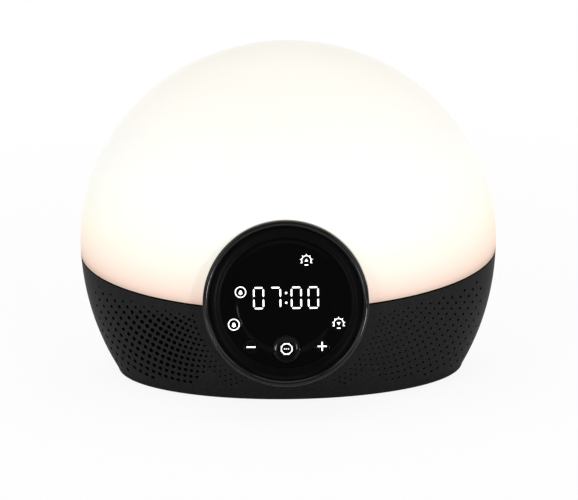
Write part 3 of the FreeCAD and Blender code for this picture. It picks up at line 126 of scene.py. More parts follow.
ahead = turned_back((0, math.cos(CAMERA_RISE), -math.sin(CAMERA_RISE)))
level_right = turned_back((1, 0, 0))
level_up = turned_back((0, math.sin(CAMERA_RISE), math.cos(CAMERA_RISE)))
right = level_right * math.cos(CAMERA_ROLL) - level_up * math.sin(CAMERA_ROLL)
up = level_right * math.sin(CAMERA_ROLL) + level_up * math.cos(CAMERA_ROLL)
eye = world(CAMERA_TARGET - ahead * CAMERA_DISTANCE)
camera_data = bpy.data.cameras.new("camera")
camera = bpy.data.objects.new("camera", camera_data)
camera_data.sensor_width = SENSOR
camera_data.lens = FOCAL_PIXELS / IMAGE[0] * SENSOR
camera_data.shift_x = (IMAGE[0] / 2 - CENTRE_PIXEL[0]) / IMAGE[0]
camera_data.shift_y = (CENTRE_PIXEL[1] - IMAGE[1] / 2) / IMAGE[0]
camera.matrix_world = Matrix((
    (right.x, up.x, -ahead.x, eye.x),
    (right.y, up.y, -ahead.y, eye.y),
    (right.z, up.z, -ahead.z, eye.z),
    (0, 0, 0, 1),
))
bpy.context.scene.collection.objects.link(camera)
bpy.context.scene.camera = camera
bpy.context.scene.view_settings.view_transform = "Standard"


# Materials
BUMP_DEPTH = 0.0001
PATCH_ENDS = (0.3, 0.7)


class Tree:
    """A small helper for building node materials."""

    def __init__(self, material):
        self.nodes = material.node_tree.nodes
        self.links = material.node_tree.links

    def add(self, kind, **inputs):
        """A node of a kind, with some of its inputs set or linked."""
        made = self.nodes.new(kind)
        for name, value in inputs.items():
            self.feed(made.inputs[name.replace("_", " ")], value)
        return made

    def feed(self, socket, value):
        """Sets a socket, or links an output to it."""
        if isinstance(value, bpy.types.NodeSocket):
            self.links.new(value, socket)
        else:
            socket.default_value = value

    def math(self, operation, *values):
        """One sum of one to three values."""
        made = self.nodes.new("ShaderNodeMath")
        made.operation = operation
        for socket, value in zip(made.inputs, values):
            self.feed(socket, value)
        return made.outputs[0]

    def blend(self, factor, a, b, how="MIX"):
        """A mix of two colours, through the colour sockets of a Mix node."""
        made = self.nodes.new("ShaderNodeMix")
        made.data_type = "RGBA"
        made.blend_type = how
        for socket, value in zip((made.inputs[0], made.inputs[6], made.inputs[7]), (factor, a, b)):
            self.feed(socket, value)
        return made.outputs[2]

    def ramp(self, factor, stops):
        """A colour ramp."""
        made = self.nodes.new("ShaderNodeValToRGB")
        self.feed(made.inputs[0], factor)
        elements = made.color_ramp.elements
        while len(elements) < len(stops):
            elements.new(1)
        for element, (place, colour) in zip(elements, stops):
            element.position = place
            element.color = colour
        return made.outputs[0]

    def noise(self, scale, detail=3):
        """Noise in the object's own coordinates."""
        made = self.add("ShaderNodeTexNoise", Vector=self.place(), Scale=scale, Detail=detail)
        return made.outputs["Fac"]

    def place(self, kind="Object"):
        """Coordinates of a kind."""
        return self.nodes.new("ShaderNodeTexCoord").outputs[kind]

    def grain(self, shader, scale, strength):
        """A fine bump of a tenth of a millimetre."""
        height = self.noise(scale, 2)
        raised = self.add("ShaderNodeBump", Strength=strength, Distance=BUMP_DEPTH, Height=height)
        self.feed(shader.inputs["Normal"], raised.outputs[0])


def new_material(name):
    """An empty node material with its shader."""
    material = bpy.data.materials.new(name)
    material.use_nodes = True
    tree = Tree(material)
    shader = tree.nodes["Principled BSDF"]
    return material, tree, shader


def rgba(colour, gain=1):
    """A colour with full alpha."""
    return (colour[0] * gain, colour[1] * gain, colour[2] * gain, 1)


def grey(value):
    """An even grey with full alpha."""
    return (value, value, value, 1)


def surface(name, colour, roughness, *, metallic=0, specular=0.5, grain=3000, bump=0.1, mottle=0.1,
            mottle_scale=60, uneven=0.05):
    """A moulded, painted or metal surface: slight colour mottle, uneven roughness and a fine bump."""
    material, tree, shader = new_material(name)
    shader.inputs["Metallic"].default_value = metallic
    shader.inputs["Specular IOR Level"].default_value = specular
    patches = tree.noise(mottle_scale)
    low, high = PATCH_ENDS
    colours = tree.ramp(patches, [(low, rgba(colour, 1 - mottle)), (high, rgba(colour, 1 + mottle))])
    tree.feed(shader.inputs["Base Color"], colours)
    rough = tree.ramp(patches, [(low, grey(roughness - uneven)), (high, grey(roughness + uneven))])
    tree.feed(shader.inputs["Roughness"], rough)
    tree.grain(shader, grain, bump)
    return material


def glow(name, colour, strength):
    """A lit mark: an even light with the faint grain of its printed diffuser."""
    material, tree, shader = new_material(name)
    shader.inputs["Roughness"].default_value = 0.4
    shader.inputs["Specular IOR Level"].default_value = 0.2
    lit = tree.ramp(tree.noise(4000, 1), [(0.2, rgba(colour, 0.95)), (0.8, rgba(colour, 1))])
    tree.feed(shader.inputs["Base Color"], lit)
    tree.feed(shader.inputs["Emission Color"], lit)
    shader.inputs["Emission Strength"].default_value = strength
    return material


# The dome's own light at heights over the seam, as a share of full light
GLOW_RISE = 110
GLOW = (
    (0, (0.30, 0.18, 0.12)),
    (1.8, (0.46, 0.29, 0.225)),
    (3.2, (0.575, 0.37, 0.295)),
    (5, (0.605, 0.425, 0.345)),
    (7, (0.62, 0.475, 0.395)),
    (9.5, (0.637, 0.52, 0.44)),
    (13, (0.655, 0.565, 0.485)),
    (17.5, (0.665, 0.615, 0.53)),
    (23.5, (0.664, 0.656, 0.578)),
    (31, (0.658, 0.668, 0.625)),
    (40, (0.652, 0.666, 0.65)),
    (52, (0.640, 0.657, 0.658)),
    (70, (0.62, 0.625, 0.61)),
    (87, (0.60, 0.598, 0.565)),
    (105, (0.56, 0.557, 0.515)),
)


# Towards its two ends the light sinks by so many millimetres and yellows by so much
END_POWER = 4
END_SINK = 1.5
END_YELLOW = 0.6


def opal():
    """The lit dome: white in the middle, cream at the crown and peach towards the seam, most at its ends."""
    material, tree, shader = new_material("opal_glow")
    shader.inputs["Base Color"].default_value = (0.32, 0.30, 0.27, 1)
    shader.inputs["Roughness"].default_value = 0.5
    shader.inputs["Specular IOR Level"].default_value = 0.25
    shader.inputs["Emission Strength"].default_value = 1.0
    x, y, z = tree.add("ShaderNodeSeparateXYZ", Vector=tree.place()).outputs
    side = tree.math("DIVIDE", tree.math("ABSOLUTE", x), HALF_WIDTH * MM)
    side = tree.math("POWER", side, END_POWER)
    seam = tree.math("MULTIPLY", tree.math("SUBTRACT", y, AXIS_SHIFT * MM), SEAM_SLOPE)
    over = tree.math("SUBTRACT", tree.math("SUBTRACT", z, SEAM_HEIGHT * MM), seam)
    lifted = tree.math("SUBTRACT", over, tree.math("MULTIPLY", side, END_SINK * MM))
    stops = [(height / GLOW_RISE, rgba(colour)) for height, colour in GLOW]
    colours = tree.ramp(tree.math("DIVIDE", lifted, GLOW_RISE * MM), stops)
    yellow = (0.99, 0.97, 0.88, 1)
    yellowed = tree.blend(tree.math("MULTIPLY", side, END_YELLOW), colours, yellow, "MULTIPLY")
    low, high = PATCH_ENDS
    veil = tree.ramp(tree.noise(25), [(low, (0.985, 0.985, 0.98, 1)), (high, grey(1))])
    tree.feed(shader.inputs["Emission Color"], tree.blend(1.0, yellowed, veil, "MULTIPLY"))
    tree.grain(shader, 2500, 0.05)
    return material


OPAL = opal()
SHELL = surface("charcoal_shell", (0.0082, 0.0083, 0.0085), 0.5, specular=0.1, grain=2600, bump=0.8,
                mottle=0.5, mottle_scale=1100)
# The near-black finish is the hidden speaker cloth and the dark seam joint. It is also painted shade on the
# walls and bottoms of the perforations.
BLACK_CLOTH_AND_SHADE = surface("black_cloth_and_painted_shade", (0.0009, 0.0009, 0.001), 0.95, specular=0.02, grain=6000, bump=0.6)
DRUM = surface("charcoal_drum", (0.0042, 0.0042, 0.0043), 0.14, specular=0.26, grain=3500, bump=0.05,
               mottle=0.06)
# The bowl is the drum's own plastic made three times darker, which is painted shade in the recess, and it has
# less gloss.
BOWL = surface("bowl_painted_shade", (0.0014, 0.0014, 0.0015), 0.36, specular=0.035, grain=3500, bump=0.05,
               mottle=0.06)
FACE = surface("black_gloss", (0.0018, 0.0018, 0.0019), 0.09, specular=0.035, grain=900, bump=0.01,
               mottle=0.05, uneven=0.015)
KEY = surface("black_key", (0.002, 0.002, 0.0021), 0.12, specular=0.12, grain=1500, bump=0.02, uneven=0.02)
LIT = glow("white_light", (1, 1, 1), 1.0)
PLASTIC = surface("moulded_black", (0.02, 0.02, 0.021), 0.55, grain=2200, bump=0.3)
RUBBER = surface("soft_rubber", (0.012, 0.012, 0.012), 0.8, specular=0.3, grain=1800, bump=0.4)
METAL = surface("plated_metal", (0.55, 0.55, 0.56), 0.32, metallic=1, grain=3000, bump=0.1)
SHEET_METAL = surface("brushed_sheet", (0.80, 0.80, 0.81), 0.38, metallic=1, grain=1200, bump=0.2)
GREEN = surface("green_board", (0.02, 0.12, 0.05), 0.4, grain=1500, bump=0.1, mottle=0.2, mottle_scale=300)
WHITE = surface("white_plastic", (0.86, 0.86, 0.84), 0.5, grain=2000, bump=0.1, mottle=0.03)
AMBER = surface("phosphor", (0.9, 0.68, 0.22), 0.35, grain=3000, bump=0.05)
DARK_PARTS = surface("board_parts", (0.03, 0.03, 0.032), 0.45, grain=2500, bump=0.15)
CONE = surface("pressed_fibre", (0.03, 0.03, 0.033), 0.8, grain=1600, bump=0.5)

FINISHES = {
    "diffuser_dome": OPAL, "control_board": GREEN, "main_board": GREEN, "display_module": FACE,
    "key_switches": DARK_PARTS, "icon_lamps": WHITE, "drum_backplate": PLASTIC, "reflector_tray": WHITE,
    "heat_spreader": SHEET_METAL, "light_board": WHITE, "light_emitters": AMBER, "speaker_cloth": BLACK_CLOTH_AND_SHADE,
    "speaker_gasket": RUBBER, "speaker_basket": PLASTIC, "speaker_cone": CONE, "speaker_magnet": METAL,
    "bottom_cover": PLASTIC, "rubber_feet": RUBBER, "main_board_parts": DARK_PARTS, "power_jack": PLASTIC,
    "jack_contact": METAL, "display_lead": RUBBER, "light_lead": RUBBER, "speaker_lead": RUBBER,
    "power_lead": RUBBER,
    "base_housing": SHELL, "control_drum": DRUM, "display_face": FACE,
}
for name, node in NODES.items():
    finish = FINISHES.get(name, METAL if name.endswith("screws") else KEY)
    node.data.materials.clear()
    node.data.materials.append(finish)


# Mesh helpers
SMOOTH_LIMIT = math.radians(30)
TINY = 1e-6


def piece(name, mesh, body, replaced=(), finishes=()):
    """Makes an object of a bmesh, and has it ride on a body in place of the nodes it stands for."""
    data = bpy.data.meshes.new(name)
    mesh.to_mesh(data)
    mesh.free()
    for finish in finishes:
        data.materials.append(finish)
    made = bpy.data.objects.new(name, data)
    bpy.context.scene.collection.objects.link(made)
    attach(made, body)
    if replaced:
        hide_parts(*replaced)
    return made


def arc_points(start, end, radius, side, steps):
    """Points along an arc of a radius between two points of a plane, without its first one."""
    chord = (end[0] - start[0], end[1] - start[1])
    length = math.hypot(*chord)
    across = (chord[1] / length * side, -chord[0] / length * side)
    depth = math.sqrt(radius * radius - length * length / 4)
    middle = ((start[0] + end[0]) / 2 - across[0] * depth, (start[1] + end[1]) / 2 - across[1] * depth)
    first = math.atan2(start[1] - middle[1], start[0] - middle[0])
    last = math.atan2(end[1] - middle[1], end[0] - middle[0])
    span = (last - first + math.pi) % (2 * math.pi) - math.pi
    points = []
    for k in range(1, steps + 1):
        turn = first + span * k / steps
        points.append((middle[0] + radius * math.cos(turn), middle[1] + radius * math.sin(turn)))
    return points


def lathe(profile, centre, segments):
    """A surface turned about the drum's direction at a point of its plane, from (radius, height) points."""
    mesh = bmesh.new()
    rings = []
    for radius, height in profile:
        if radius < TINY:
            rings.append([mesh.verts.new(world(on_drum(centre[0], centre[1], height)))])
            continue
        ring = []
        for k in range(segments):
            turn = 2 * math.pi * k / segments
            x, y = centre[0] + radius * math.cos(turn), centre[1] + radius * math.sin(turn)
            ring.append(mesh.verts.new(world(on_drum(x, y, height))))
        rings.append(ring)
    for low, high in zip(rings, rings[1:]):
        for k in range(segments):
            after = (k + 1) % segments
            corners = [low[k % len(low)], low[after % len(low)], high[after % len(high)], high[k % len(high)]]
            kept = [c for n, c in enumerate(corners) if c not in corners[:n]]
            mesh.faces.new(kept)
    finish_normals(mesh)
    return mesh


def finish_normals(mesh, sharp=SMOOTH_LIMIT):
    """Smooth faces, with an edge wherever the surface turns sharply."""
    bmesh.ops.recalc_face_normals(mesh, faces=mesh.faces)
    for face in mesh.faces:
        face.smooth = True
    for edge in mesh.edges:
        if len(edge.link_faces) == 2 and edge.calc_face_angle(0) > sharp:
            edge.smooth = False


def circle(x, y, radius, sides):
    """Points round a circle of a plane."""
    return [
        (x + radius * math.cos(2 * math.pi * k / sides), y + radius * math.sin(2 * math.pi * k / sides))
        for k in range(sides)
    ]


def pierced(border, loops, fill, keep):
    """Triangles of a plane region with loops cut out of it, filled with extra points."""
    points, edges, owner = [], [], []
    for number, loop in enumerate([border] + loops):
        first = len(points)
        points += loop
        owner += [number] * len(loop)
        edges += [(first + k, first + (k + 1) % len(loop)) for k in range(len(loop))]
    points += fill
    owner += [0] * len(fill)
    found, _, triangles, origins, _, _ = delaunay_2d_cdt([Vector(p) for p in points], edges, [], 0, TINY)
    owners = [{owner[o] for o in origin} for origin in origins]
    kept = []
    for triangle in triangles:
        within_loop = set.intersection(*(owners[k] for k in triangle)) - {0}
        middle = sum((found[k] for k in triangle), Vector((0, 0))) / 3
        if not within_loop and keep(middle):
            kept.append(triangle)
    return found, kept


# Base shell
def share_at(z):
    """How wide the body is at a height, as a share of its width at the equator."""
    return math.sqrt(max(1 - ((z - EQUATOR) / LOWER_REACH) ** 2, 0))


def on_base(turn, z, inset=0):
    """The point of the base's surface at a turn about the body's axis and a height."""
    depth = FRONT_DEPTH if math.sin(turn) < 0 else REAR_DEPTH
    share = share_at(z)
    across, along = HALF_WIDTH * share - inset, depth * share - inset
    return Vector((across * math.cos(turn), along * math.sin(turn), z))


def base_normal(point):
    """The direction square to the base's surface."""
    depth = FRONT_DEPTH if point.y < 0 else REAR_DEPTH
    slope = Vector((point.x / HALF_WIDTH ** 2, point.y / depth ** 2, (point.z - EQUATOR) / LOWER_REACH ** 2))
    return slope.normalized()


def seam_at(turn):
    """Height of the seam at a turn about the body's axis."""
    z = SEAM_HEIGHT
    for _ in range(30):
        z = SEAM_HEIGHT + on_base(turn, z).y * SEAM_SLOPE
    return z


def in_front(x, y):
    """The point of the base's front in front of a point of the drum's plane, or nothing."""
    start = on_drum(x, y, 0)
    radii = (HALF_WIDTH, FRONT_DEPTH, LOWER_REACH)
    p = [start.x / radii[0], start.y / radii[1], (start.z - EQUATOR) / radii[2]]
    d = [DRUM_OUT[k] / radii[k] for k in range(3)]
    a = sum(c * c for c in d)
    b = sum(m * n for m, n in zip(p, d))
    c = sum(m * m for m in p) - 1
    if b * b < a * c:
        return None
    return start + DRUM_OUT * ((-b + math.sqrt(b * b - a * c)) / a)


# The shell is cut open at one turn and unrolled into a plane, to cut its holes there
FLAT = 85
CUT = math.radians(50)
AROUND = 300
ROW = 4
CUT_ROWS = 24
JACK_SIDES = 32
NOTCH_SIDES = 240
LARGE_VENT_SIDES = 12
SMALL_VENT_SIDES = 8
LARGE_VENT = 0.5
LOW_Z = FOOT_LIFT + EDGE_ROUND * EDGE_RISE
SEAM_LIP = 0.4


def to_flat(point):
    """A point of the base's surface in its unrolled plane."""
    depth = FRONT_DEPTH if point.y < 0 else REAR_DEPTH
    turn = math.atan2(point.y / depth, point.x / HALF_WIDTH)
    if turn > CUT:
        turn -= 2 * math.pi
    return (turn * FLAT, point.z)


def small_loop(point, radius, sides):
    """A round hole's outline on the base's surface, in the unrolled plane."""
    normal = base_normal(point)
    across = normal.cross(Vector((0, 0, 1))).normalized()
    along = normal.cross(across)
    return [to_flat(point + across * x + along * y) for x, y in circle(0, 0, radius, sides)]


# Perforations, on rings about the drum's axis: radii and lengths in millimetres, turns in degrees below level
FIRST_RING = 46
RING_PITCH = 2.2
RINGS = 24
TURN_PITCH = 4
FIRST_STEP, LAST_STEP = -3, 16
FIRST_TURN = 0.4
INNER_RINGS_END = 51
INNER_LIMIT, OUTER_LIMIT = 62, 42
LOWEST_VENT = 7.5
SEAM_ROOM = 5
SIDE_ROOM = 4
SPEAKER_RING, SPEAKER_TURN = 68, 20
SPEAKER_VENT = 1.22
SPEAKER_FADE, FADE_END = 0.46, 1.25
INWARD_REACH, OUTWARD_REACH = 20, 36
UPWARD_REACH, DOWNWARD_REACH = 32, 26
SEAM_GROWTH = 0.11
LEAST_VENT = 0.36
FINE_VENT = 0.42
FINE_GROWTH, FINE_REACH = 0.34, 48


def hole_size(point, ring, down):
    """Radius of the perforation at a point: large over the speaker and fading away, finer on the right."""
    if point.x > 0:
        return FINE_VENT + FINE_GROWTH * max(min((ring - FIRST_RING) / FINE_REACH, 1), 0)
    past_ring, past_turn = ring - SPEAKER_RING, down - SPEAKER_TURN
    past_ring /= INWARD_REACH if past_ring < 0 else OUTWARD_REACH
    past_turn /= UPWARD_REACH if past_turn < 0 else DOWNWARD_REACH
    size = SPEAKER_VENT - SPEAKER_FADE * min(math.hypot(past_ring, past_turn), FADE_END) ** 2
    seam_room = SEAM_HEIGHT + point.y * SEAM_SLOPE - point.z
    return max(min(size, FINE_VENT + SEAM_GROWTH * (seam_room - SEAM_ROOM)), LEAST_VENT)


def hole_pattern():
    """Every perforation: rings about the drum's axis, each ring half a step on from the last."""
    holes = []
    for number in range(RINGS):
        ring = FIRST_RING + RING_PITCH * number
        for step in range(FIRST_STEP, LAST_STEP + 1):
            down = TURN_PITCH * (step + 0.5 * (number % 2)) + FIRST_TURN
            if down > (INNER_LIMIT if ring < INNER_RINGS_END else OUTER_LIMIT):
                continue
            turn = math.radians(down)
            for side in (-1, 1):
                point = in_front(side * ring * math.cos(turn), -ring * math.sin(turn))
                if point is None or point.y > -SIDE_ROOM:
                    continue
                if LOWEST_VENT < point.z < SEAM_HEIGHT + point.y * SEAM_SLOPE - SEAM_ROOM:
                    holes.append((point, hole_size(point, ring, down)))
    return holes


def in_drum(point):
    """Whether a point of the body lies within the drum's notch."""
    offset = point - DRUM_CENTRE
    return math.hypot(offset.dot(DRUM_RIGHT), offset.dot(DRUM_UP)) < DRUM_RADIUS + DRUM_GAP


def shell_has(middle):
    """Whether a triangle's middle, in the unrolled plane, lies on the shell and in no large opening."""
    turn = middle[0] / FLAT
    if middle[1] > seam_at(turn) - SEAM_LIP - 1e-4:
        return False
    point = on_base(turn, middle[1])
    if point.y > 0:
        return math.hypot(point.x, point.z - JACK_HEIGHT) > JACK_HOLE * 0.98
    return not in_drum(point)


def clear_of(points, crowd, cell, distance):
    """Those of the points that keep a distance from every point of a crowd."""
    cells = {}
    for x, y in crowd:
        cells.setdefault((int(x // cell), int(y // cell)), []).append((x, y))
    clear = []
    for x, y in points:
        column, row = int(x // cell), int(y // cell)
        near = [q for i in (-1, 0, 1) for j in (-1, 0, 1) for q in cells.get((column + i, row + j), ())]
        if all(math.hypot(x - q[0], y - q[1]) >= distance for q in near):
            clear.append((x, y))
    return clear


def base_shell():
    """The dark shell: outside surface with every hole open, hole walls, rounded foot and rim."""
    turns = [CUT - 2 * math.pi + 2 * math.pi * k / AROUND for k in range(AROUND + 1)]
    cut_height = seam_at(CUT) - SEAM_LIP - LOW_Z
    cut_rows = [LOW_Z + cut_height * k / CUT_ROWS for k in range(1, CUT_ROWS)]
    border = [(t * FLAT, LOW_Z) for t in turns] + [(turns[-1] * FLAT, z) for z in cut_rows]
    border += [(t * FLAT, seam_at(t) - SEAM_LIP) for t in reversed(turns)]
    border += [(turns[0] * FLAT, z) for z in reversed(cut_rows)]
    vents = [
        small_loop(point, radius, LARGE_VENT_SIDES if radius > LARGE_VENT else SMALL_VENT_SIDES)
        for point, radius in hole_pattern()
    ]
    jack = []
    for x, z in circle(0, JACK_HEIGHT, JACK_HOLE, JACK_SIDES):
        jack.append(to_flat(on_base(math.acos(x / (HALF_WIDTH * share_at(z))), z)))
    notch = [to_flat(in_front(x, y)) for x, y in circle(0, 0, DRUM_RADIUS + DRUM_GAP, NOTCH_SIDES)]
    fill = []
    for k in range(AROUND):
        turn = turns[k] + math.pi / AROUND
        top = seam_at(turn)
        rows = int((top - LOW_Z) / ROW)
        fill += [(turn * FLAT, LOW_Z + (top - LOW_Z) * (row + 0.5) / rows) for row in range(rows)]
    fill = clear_of(fill, [vent[0] for vent in vents] + jack, cell=3, distance=2.4)
    found, triangles = pierced(border, vents + [jack, notch], fill, shell_has)
    mesh = bmesh.new()
    verts = {}
    for triangle in triangles:
        for k in triangle:
            if k not in verts:
                verts[k] = mesh.verts.new(world(on_base(found[k][0] / FLAT, found[k][1])))
        mesh.faces.new([verts[k] for k in triangle])
    on_cut = [v for k, v in verts.items() if abs(abs(found[k][0] / FLAT - CUT + math.pi) - math.pi) < 1e-3]
    bmesh.ops.remove_doubles(mesh, verts=on_cut, dist=TINY)
    rim_walls(mesh)
    foot_strip(mesh, turns)
    finish_normals(mesh, math.radians(35))
    return mesh


def open_loops(mesh):
    """The open edges of a mesh, as loops of vertices."""
    neighbours = {}
    for edge in mesh.edges:
        if len(edge.link_faces) == 1:
            a, b = edge.verts
            neighbours.setdefault(a, []).append(b)
            neighbours.setdefault(b, []).append(a)
    loops, seen = [], set()
    for start in neighbours:
        if start in seen:
            continue
        loop = []
        following = [start]
        while following:
            loop.append(following[0])
            seen.add(following[0])
            following = [n for n in neighbours[loop[-1]] if n not in seen]
        loops.append(loop)
    return loops


def wall_direction(point, sides):
    """The direction out of the shell along a hole's wall, for a hole with so many sides."""
    if sides <= LARGE_VENT_SIDES:
        return base_normal(point)
    if sides == JACK_SIDES:
        return Vector((0, 1, 0))
    if abs(point.z + SEAM_LIP - SEAM_HEIGHT - point.y * SEAM_SLOPE) < 0.05:
        return Vector((point.x, point.y, point.y * SEAM_SLOPE)).normalized()
    return (point - Vector((0, 0, EQUATOR))).normalized()


def rim_walls(mesh):
    """Gives every open edge of the shell but the foot's a wall inward, and each small hole a dark bottom; the
    small holes' walls and bottoms take the near-black finish, painted shade in the holes.
    """
    for loop in open_loops(mesh):
        small = len(loop) <= LARGE_VENT_SIDES
        if not small and all(v.co.z < (LOW_Z + ROW) * MM for v in loop):
            continue
        inner = []
        for v in loop:
            point = Vector((v.co.x / MM, v.co.y / MM - AXIS_SHIFT, v.co.z / MM))
            inner.append(mesh.verts.new(world(point - wall_direction(point, len(loop)) * WALL)))
        # Walls of small holes, and their bottoms below, are near-black: painted shade in the holes.
        for k in range(len(loop)):
            after = (k + 1) % len(loop)
            mesh.faces.new([loop[k], loop[after], inner[after], inner[k]]).material_index = int(small)
        if small:
            mesh.faces.new(inner).material_index = 1


def foot_strip(mesh, turns):
    """The rounded foot, the flat rim under it and the step up to the bottom cover."""
    rows = []
    rings = 8
    for k in range(rings + 1):
        turn = k / rings * math.pi / 2
        z = LOW_Z + (FOOT_LIFT - LOW_Z) * math.sin(turn)
        rows.append((z, EDGE_ROUND * EDGE_INSET * (1 - math.cos(turn))))
    rows += [(FOOT_LIFT, FOOT_RIM), (FOOT_LIFT + COVER_THICK, FOOT_RIM)]
    previous = None
    for z, inset in rows:
        row = [mesh.verts.new(world(Vector((*on_base(t, LOW_Z, inset).xy, z)))) for t in turns[:-1]]
        if previous:
            for k in range(len(row)):
                after = (k + 1) % len(row)
                mesh.faces.new([previous[k], previous[after], row[after], row[k]])
        previous = row
    low = [v for v in mesh.verts if v.co.z < (LOW_Z + 0.01) * MM]
    bmesh.ops.remove_doubles(mesh, verts=low, dist=2 * TINY)


piece("base_shell", base_shell(), "lamp", ["base_housing"], [SHELL, BLACK_CLOTH_AND_SHADE])


def seam_line():
    """The narrow dark lip along the shell's upper edge, broken where the drum passes through."""
    mesh = bmesh.new()
    steps = 360
    rows = []
    for k in range(steps):
        turn = 2 * math.pi * k / steps
        top = seam_at(turn)
        corners = [(top - SEAM_LIP, WALL), (top - SEAM_LIP, 0), (top, 0), (top, WALL)]
        rows.append([on_base(turn, z, inset) for z, inset in corners])
    for row, after in zip(rows, rows[1:] + rows[:1]):
        middle = (row[2] + after[2]) / 2
        if middle.y < 0 and in_drum(middle):
            continue
        for n in range(3):
            corners = (row[n], after[n], after[n + 1], row[n + 1])
            mesh.faces.new([mesh.verts.new(world(corner)) for corner in corners])
    bmesh.ops.remove_doubles(mesh, verts=mesh.verts, dist=TINY)
    finish_normals(mesh, math.radians(50))
    return mesh


piece("seam_lip", seam_line(), "lamp", (), [BLACK_CLOTH_AND_SHADE])


# Control drum
def drum_mesh():
    """The drum: side, rounded lip, hollow bowl, face seat and inside, with the bowl in its own darker
    material, painted shade in the recess.
    """
    lip_inner = DRUM_RADIUS - 2 * LIP_ROUND
    profile = [(DRUM_RADIUS, -DRUM_LENGTH), (DRUM_RADIUS, -LIP_ROUND)]
    profile += arc_points(profile[-1], (DRUM_RADIUS - LIP_ROUND, 0), LIP_ROUND, 1, 8)
    profile += arc_points(profile[-1], (lip_inner, -LIP_ROUND), LIP_ROUND, 1, 8)
    profile += arc_points(profile[-1], (BOWL_RADIUS, BOWL_FLOOR + 0.1), BOWL_ROUND, -1, 14)
    profile += [
        (BOWL_RADIUS - 0.2, BOWL_FLOOR), (SEAT_RADIUS + 0.25, BOWL_FLOOR), (SEAT_RADIUS, BOWL_FLOOR - 0.15),
        (SEAT_RADIUS, SEAT_FLOOR), (LEDGE_RADIUS, SEAT_FLOOR), (LEDGE_RADIUS, LEDGE_BACK),
        (INNER_RADIUS, LEDGE_BACK), (INNER_RADIUS, -DRUM_LENGTH), (DRUM_RADIUS, -DRUM_LENGTH),
    ]
    mesh = lathe(profile, (0, 0), 256)
    for face in mesh.faces:
        middle = face.calc_center_median() / MM - Vector((0, AXIS_SHIFT, 0)) - DRUM_CENTRE
        off_axis = math.hypot(middle.dot(DRUM_RIGHT), middle.dot(DRUM_UP))
        # Faces of the bowl take the darker second finish, painted shade.
        if off_axis < lip_inner - 0.1 and middle.dot(DRUM_OUT) > BOWL_FLOOR - 0.1:
            face.material_index = 1
    return mesh


piece("drum_body", drum_mesh(), "lamp", ["control_drum"], [DRUM, BOWL])

# Face and keys. The dish is shallower than in the CAD model, which keeps stray reflections out of it.
KEY_CIRCLE = 27
KEY_TURNS = {"minus_button": -39, "plus_button": 39, "alarm_button": -68, "sunset_button": 68}
KEYS = {
    name: (KEY_CIRCLE * math.sin(math.radians(turn)), -KEY_CIRCLE * math.cos(math.radians(turn)))
    for name, turn in KEY_TURNS.items()
}
SELECT = (0, -22)
KEY_RADIUS = 3.6
SELECT_RADIUS = 6.6
KEY_GAP = 0.2
DISH_START, DISH_END, DISH_SAG = 22.4, 30.2, 0.38
STEM_RADIUS = 1.6
STEM_END, SELECT_STEM_END = -8.9, -8.6
FLANGE = 0.8
FLANGE_BACK, FLANGE_FRONT = -7.85, -7.05
KEY_TOP = FACE_LEVEL - 0.45
KEY_DISH = 0.15
KEY_EDGE = 0.15
SELECT_TOP = FACE_LEVEL + 0.5
SELECT_EDGE = 0.35
SELECT_MIDDLE = FACE_LEVEL - 0.3
SELECT_DISH = 0.45
SELECT_RIM_TOP, SELECT_RIM_FOOT = 0.55, 0.9
SELECT_MARK_LEVEL = FACE_LEVEL - 0.15
FILL_STEP, FINE_STEP = 3, 0.78
HOLE_ROOM, RIM_ROOM = 0.7, 0.3


def face_level(radius):
    """Height of the face's front at a distance from its middle."""
    if not DISH_START < radius < DISH_END:
        return FACE_LEVEL
    half = (DISH_END - DISH_START) / 2
    round_radius = (half * half + DISH_SAG * DISH_SAG) / (2 * DISH_SAG)
    off = radius - (DISH_START + DISH_END) / 2
    return FACE_LEVEL - (math.sqrt(round_radius ** 2 - off * off) - (round_radius - DISH_SAG))


def face_mesh():
    """The glossy face, dished near its edge, with the key holes cut through."""
    border = circle(0, 0, FACE_RADIUS, 180)
    holes = [(x, y, KEY_RADIUS, 48) for x, y in KEYS.values()] + [(*SELECT, SELECT_RADIUS, 72)]
    loops = [circle(x, y, radius + KEY_GAP, sides) for x, y, radius, sides in holes]
    fill = [(0, 0)]
    ring = FILL_STEP
    while ring < FACE_RADIUS - RIM_ROOM:
        fill += circle(0, 0, ring, max(int(ring * 6), 12))
        ring += FILL_STEP if ring < DISH_START - FILL_STEP else FINE_STEP
    fill = [p for p in fill if all(math.dist(p, (x, y)) > radius + HOLE_ROOM for x, y, radius, _ in holes)]
    found, triangles = pierced(border, loops, fill, lambda middle: True)
    mesh = bmesh.new()
    verts = [mesh.verts.new(world(on_drum(p[0], p[1], face_level(p.length)))) for p in found]
    for triangle in triangles:
        mesh.faces.new([verts[k] for k in triangle])
    loose = [v for v in mesh.verts if not v.link_faces]
    bmesh.ops.delete(mesh, geom=loose, context="VERTS")
    rim = [e for e in mesh.edges if len(e.link_faces) == 1]
    walls = bmesh.ops.extrude_edge_only(mesh, edges=rim)["geom"]
    back = on_drum(0, 0, SEAT_FLOOR)
    for v in [g for g in walls if isinstance(g, bmesh.types.BMVert)]:
        point = Vector((v.co.x / MM, v.co.y / MM - AXIS_SHIFT, v.co.z / MM))
        point += DRUM_OUT * (back - point).dot(DRUM_OUT)
        v.co = world(point)
    finish_normals(mesh)
    return mesh


piece("face_glass", face_mesh(), "lamp", ["display_face"], [FACE])


def key_base(radius, stem_end, side_end):
    """The hidden part of a key's profile: stem, flange and side."""
    return [(STEM_RADIUS, stem_end), (STEM_RADIUS, FLANGE_BACK), (radius + FLANGE, FLANGE_BACK),
            (radius + FLANGE, FLANGE_FRONT), (radius, FLANGE_FRONT), (radius, side_end)]


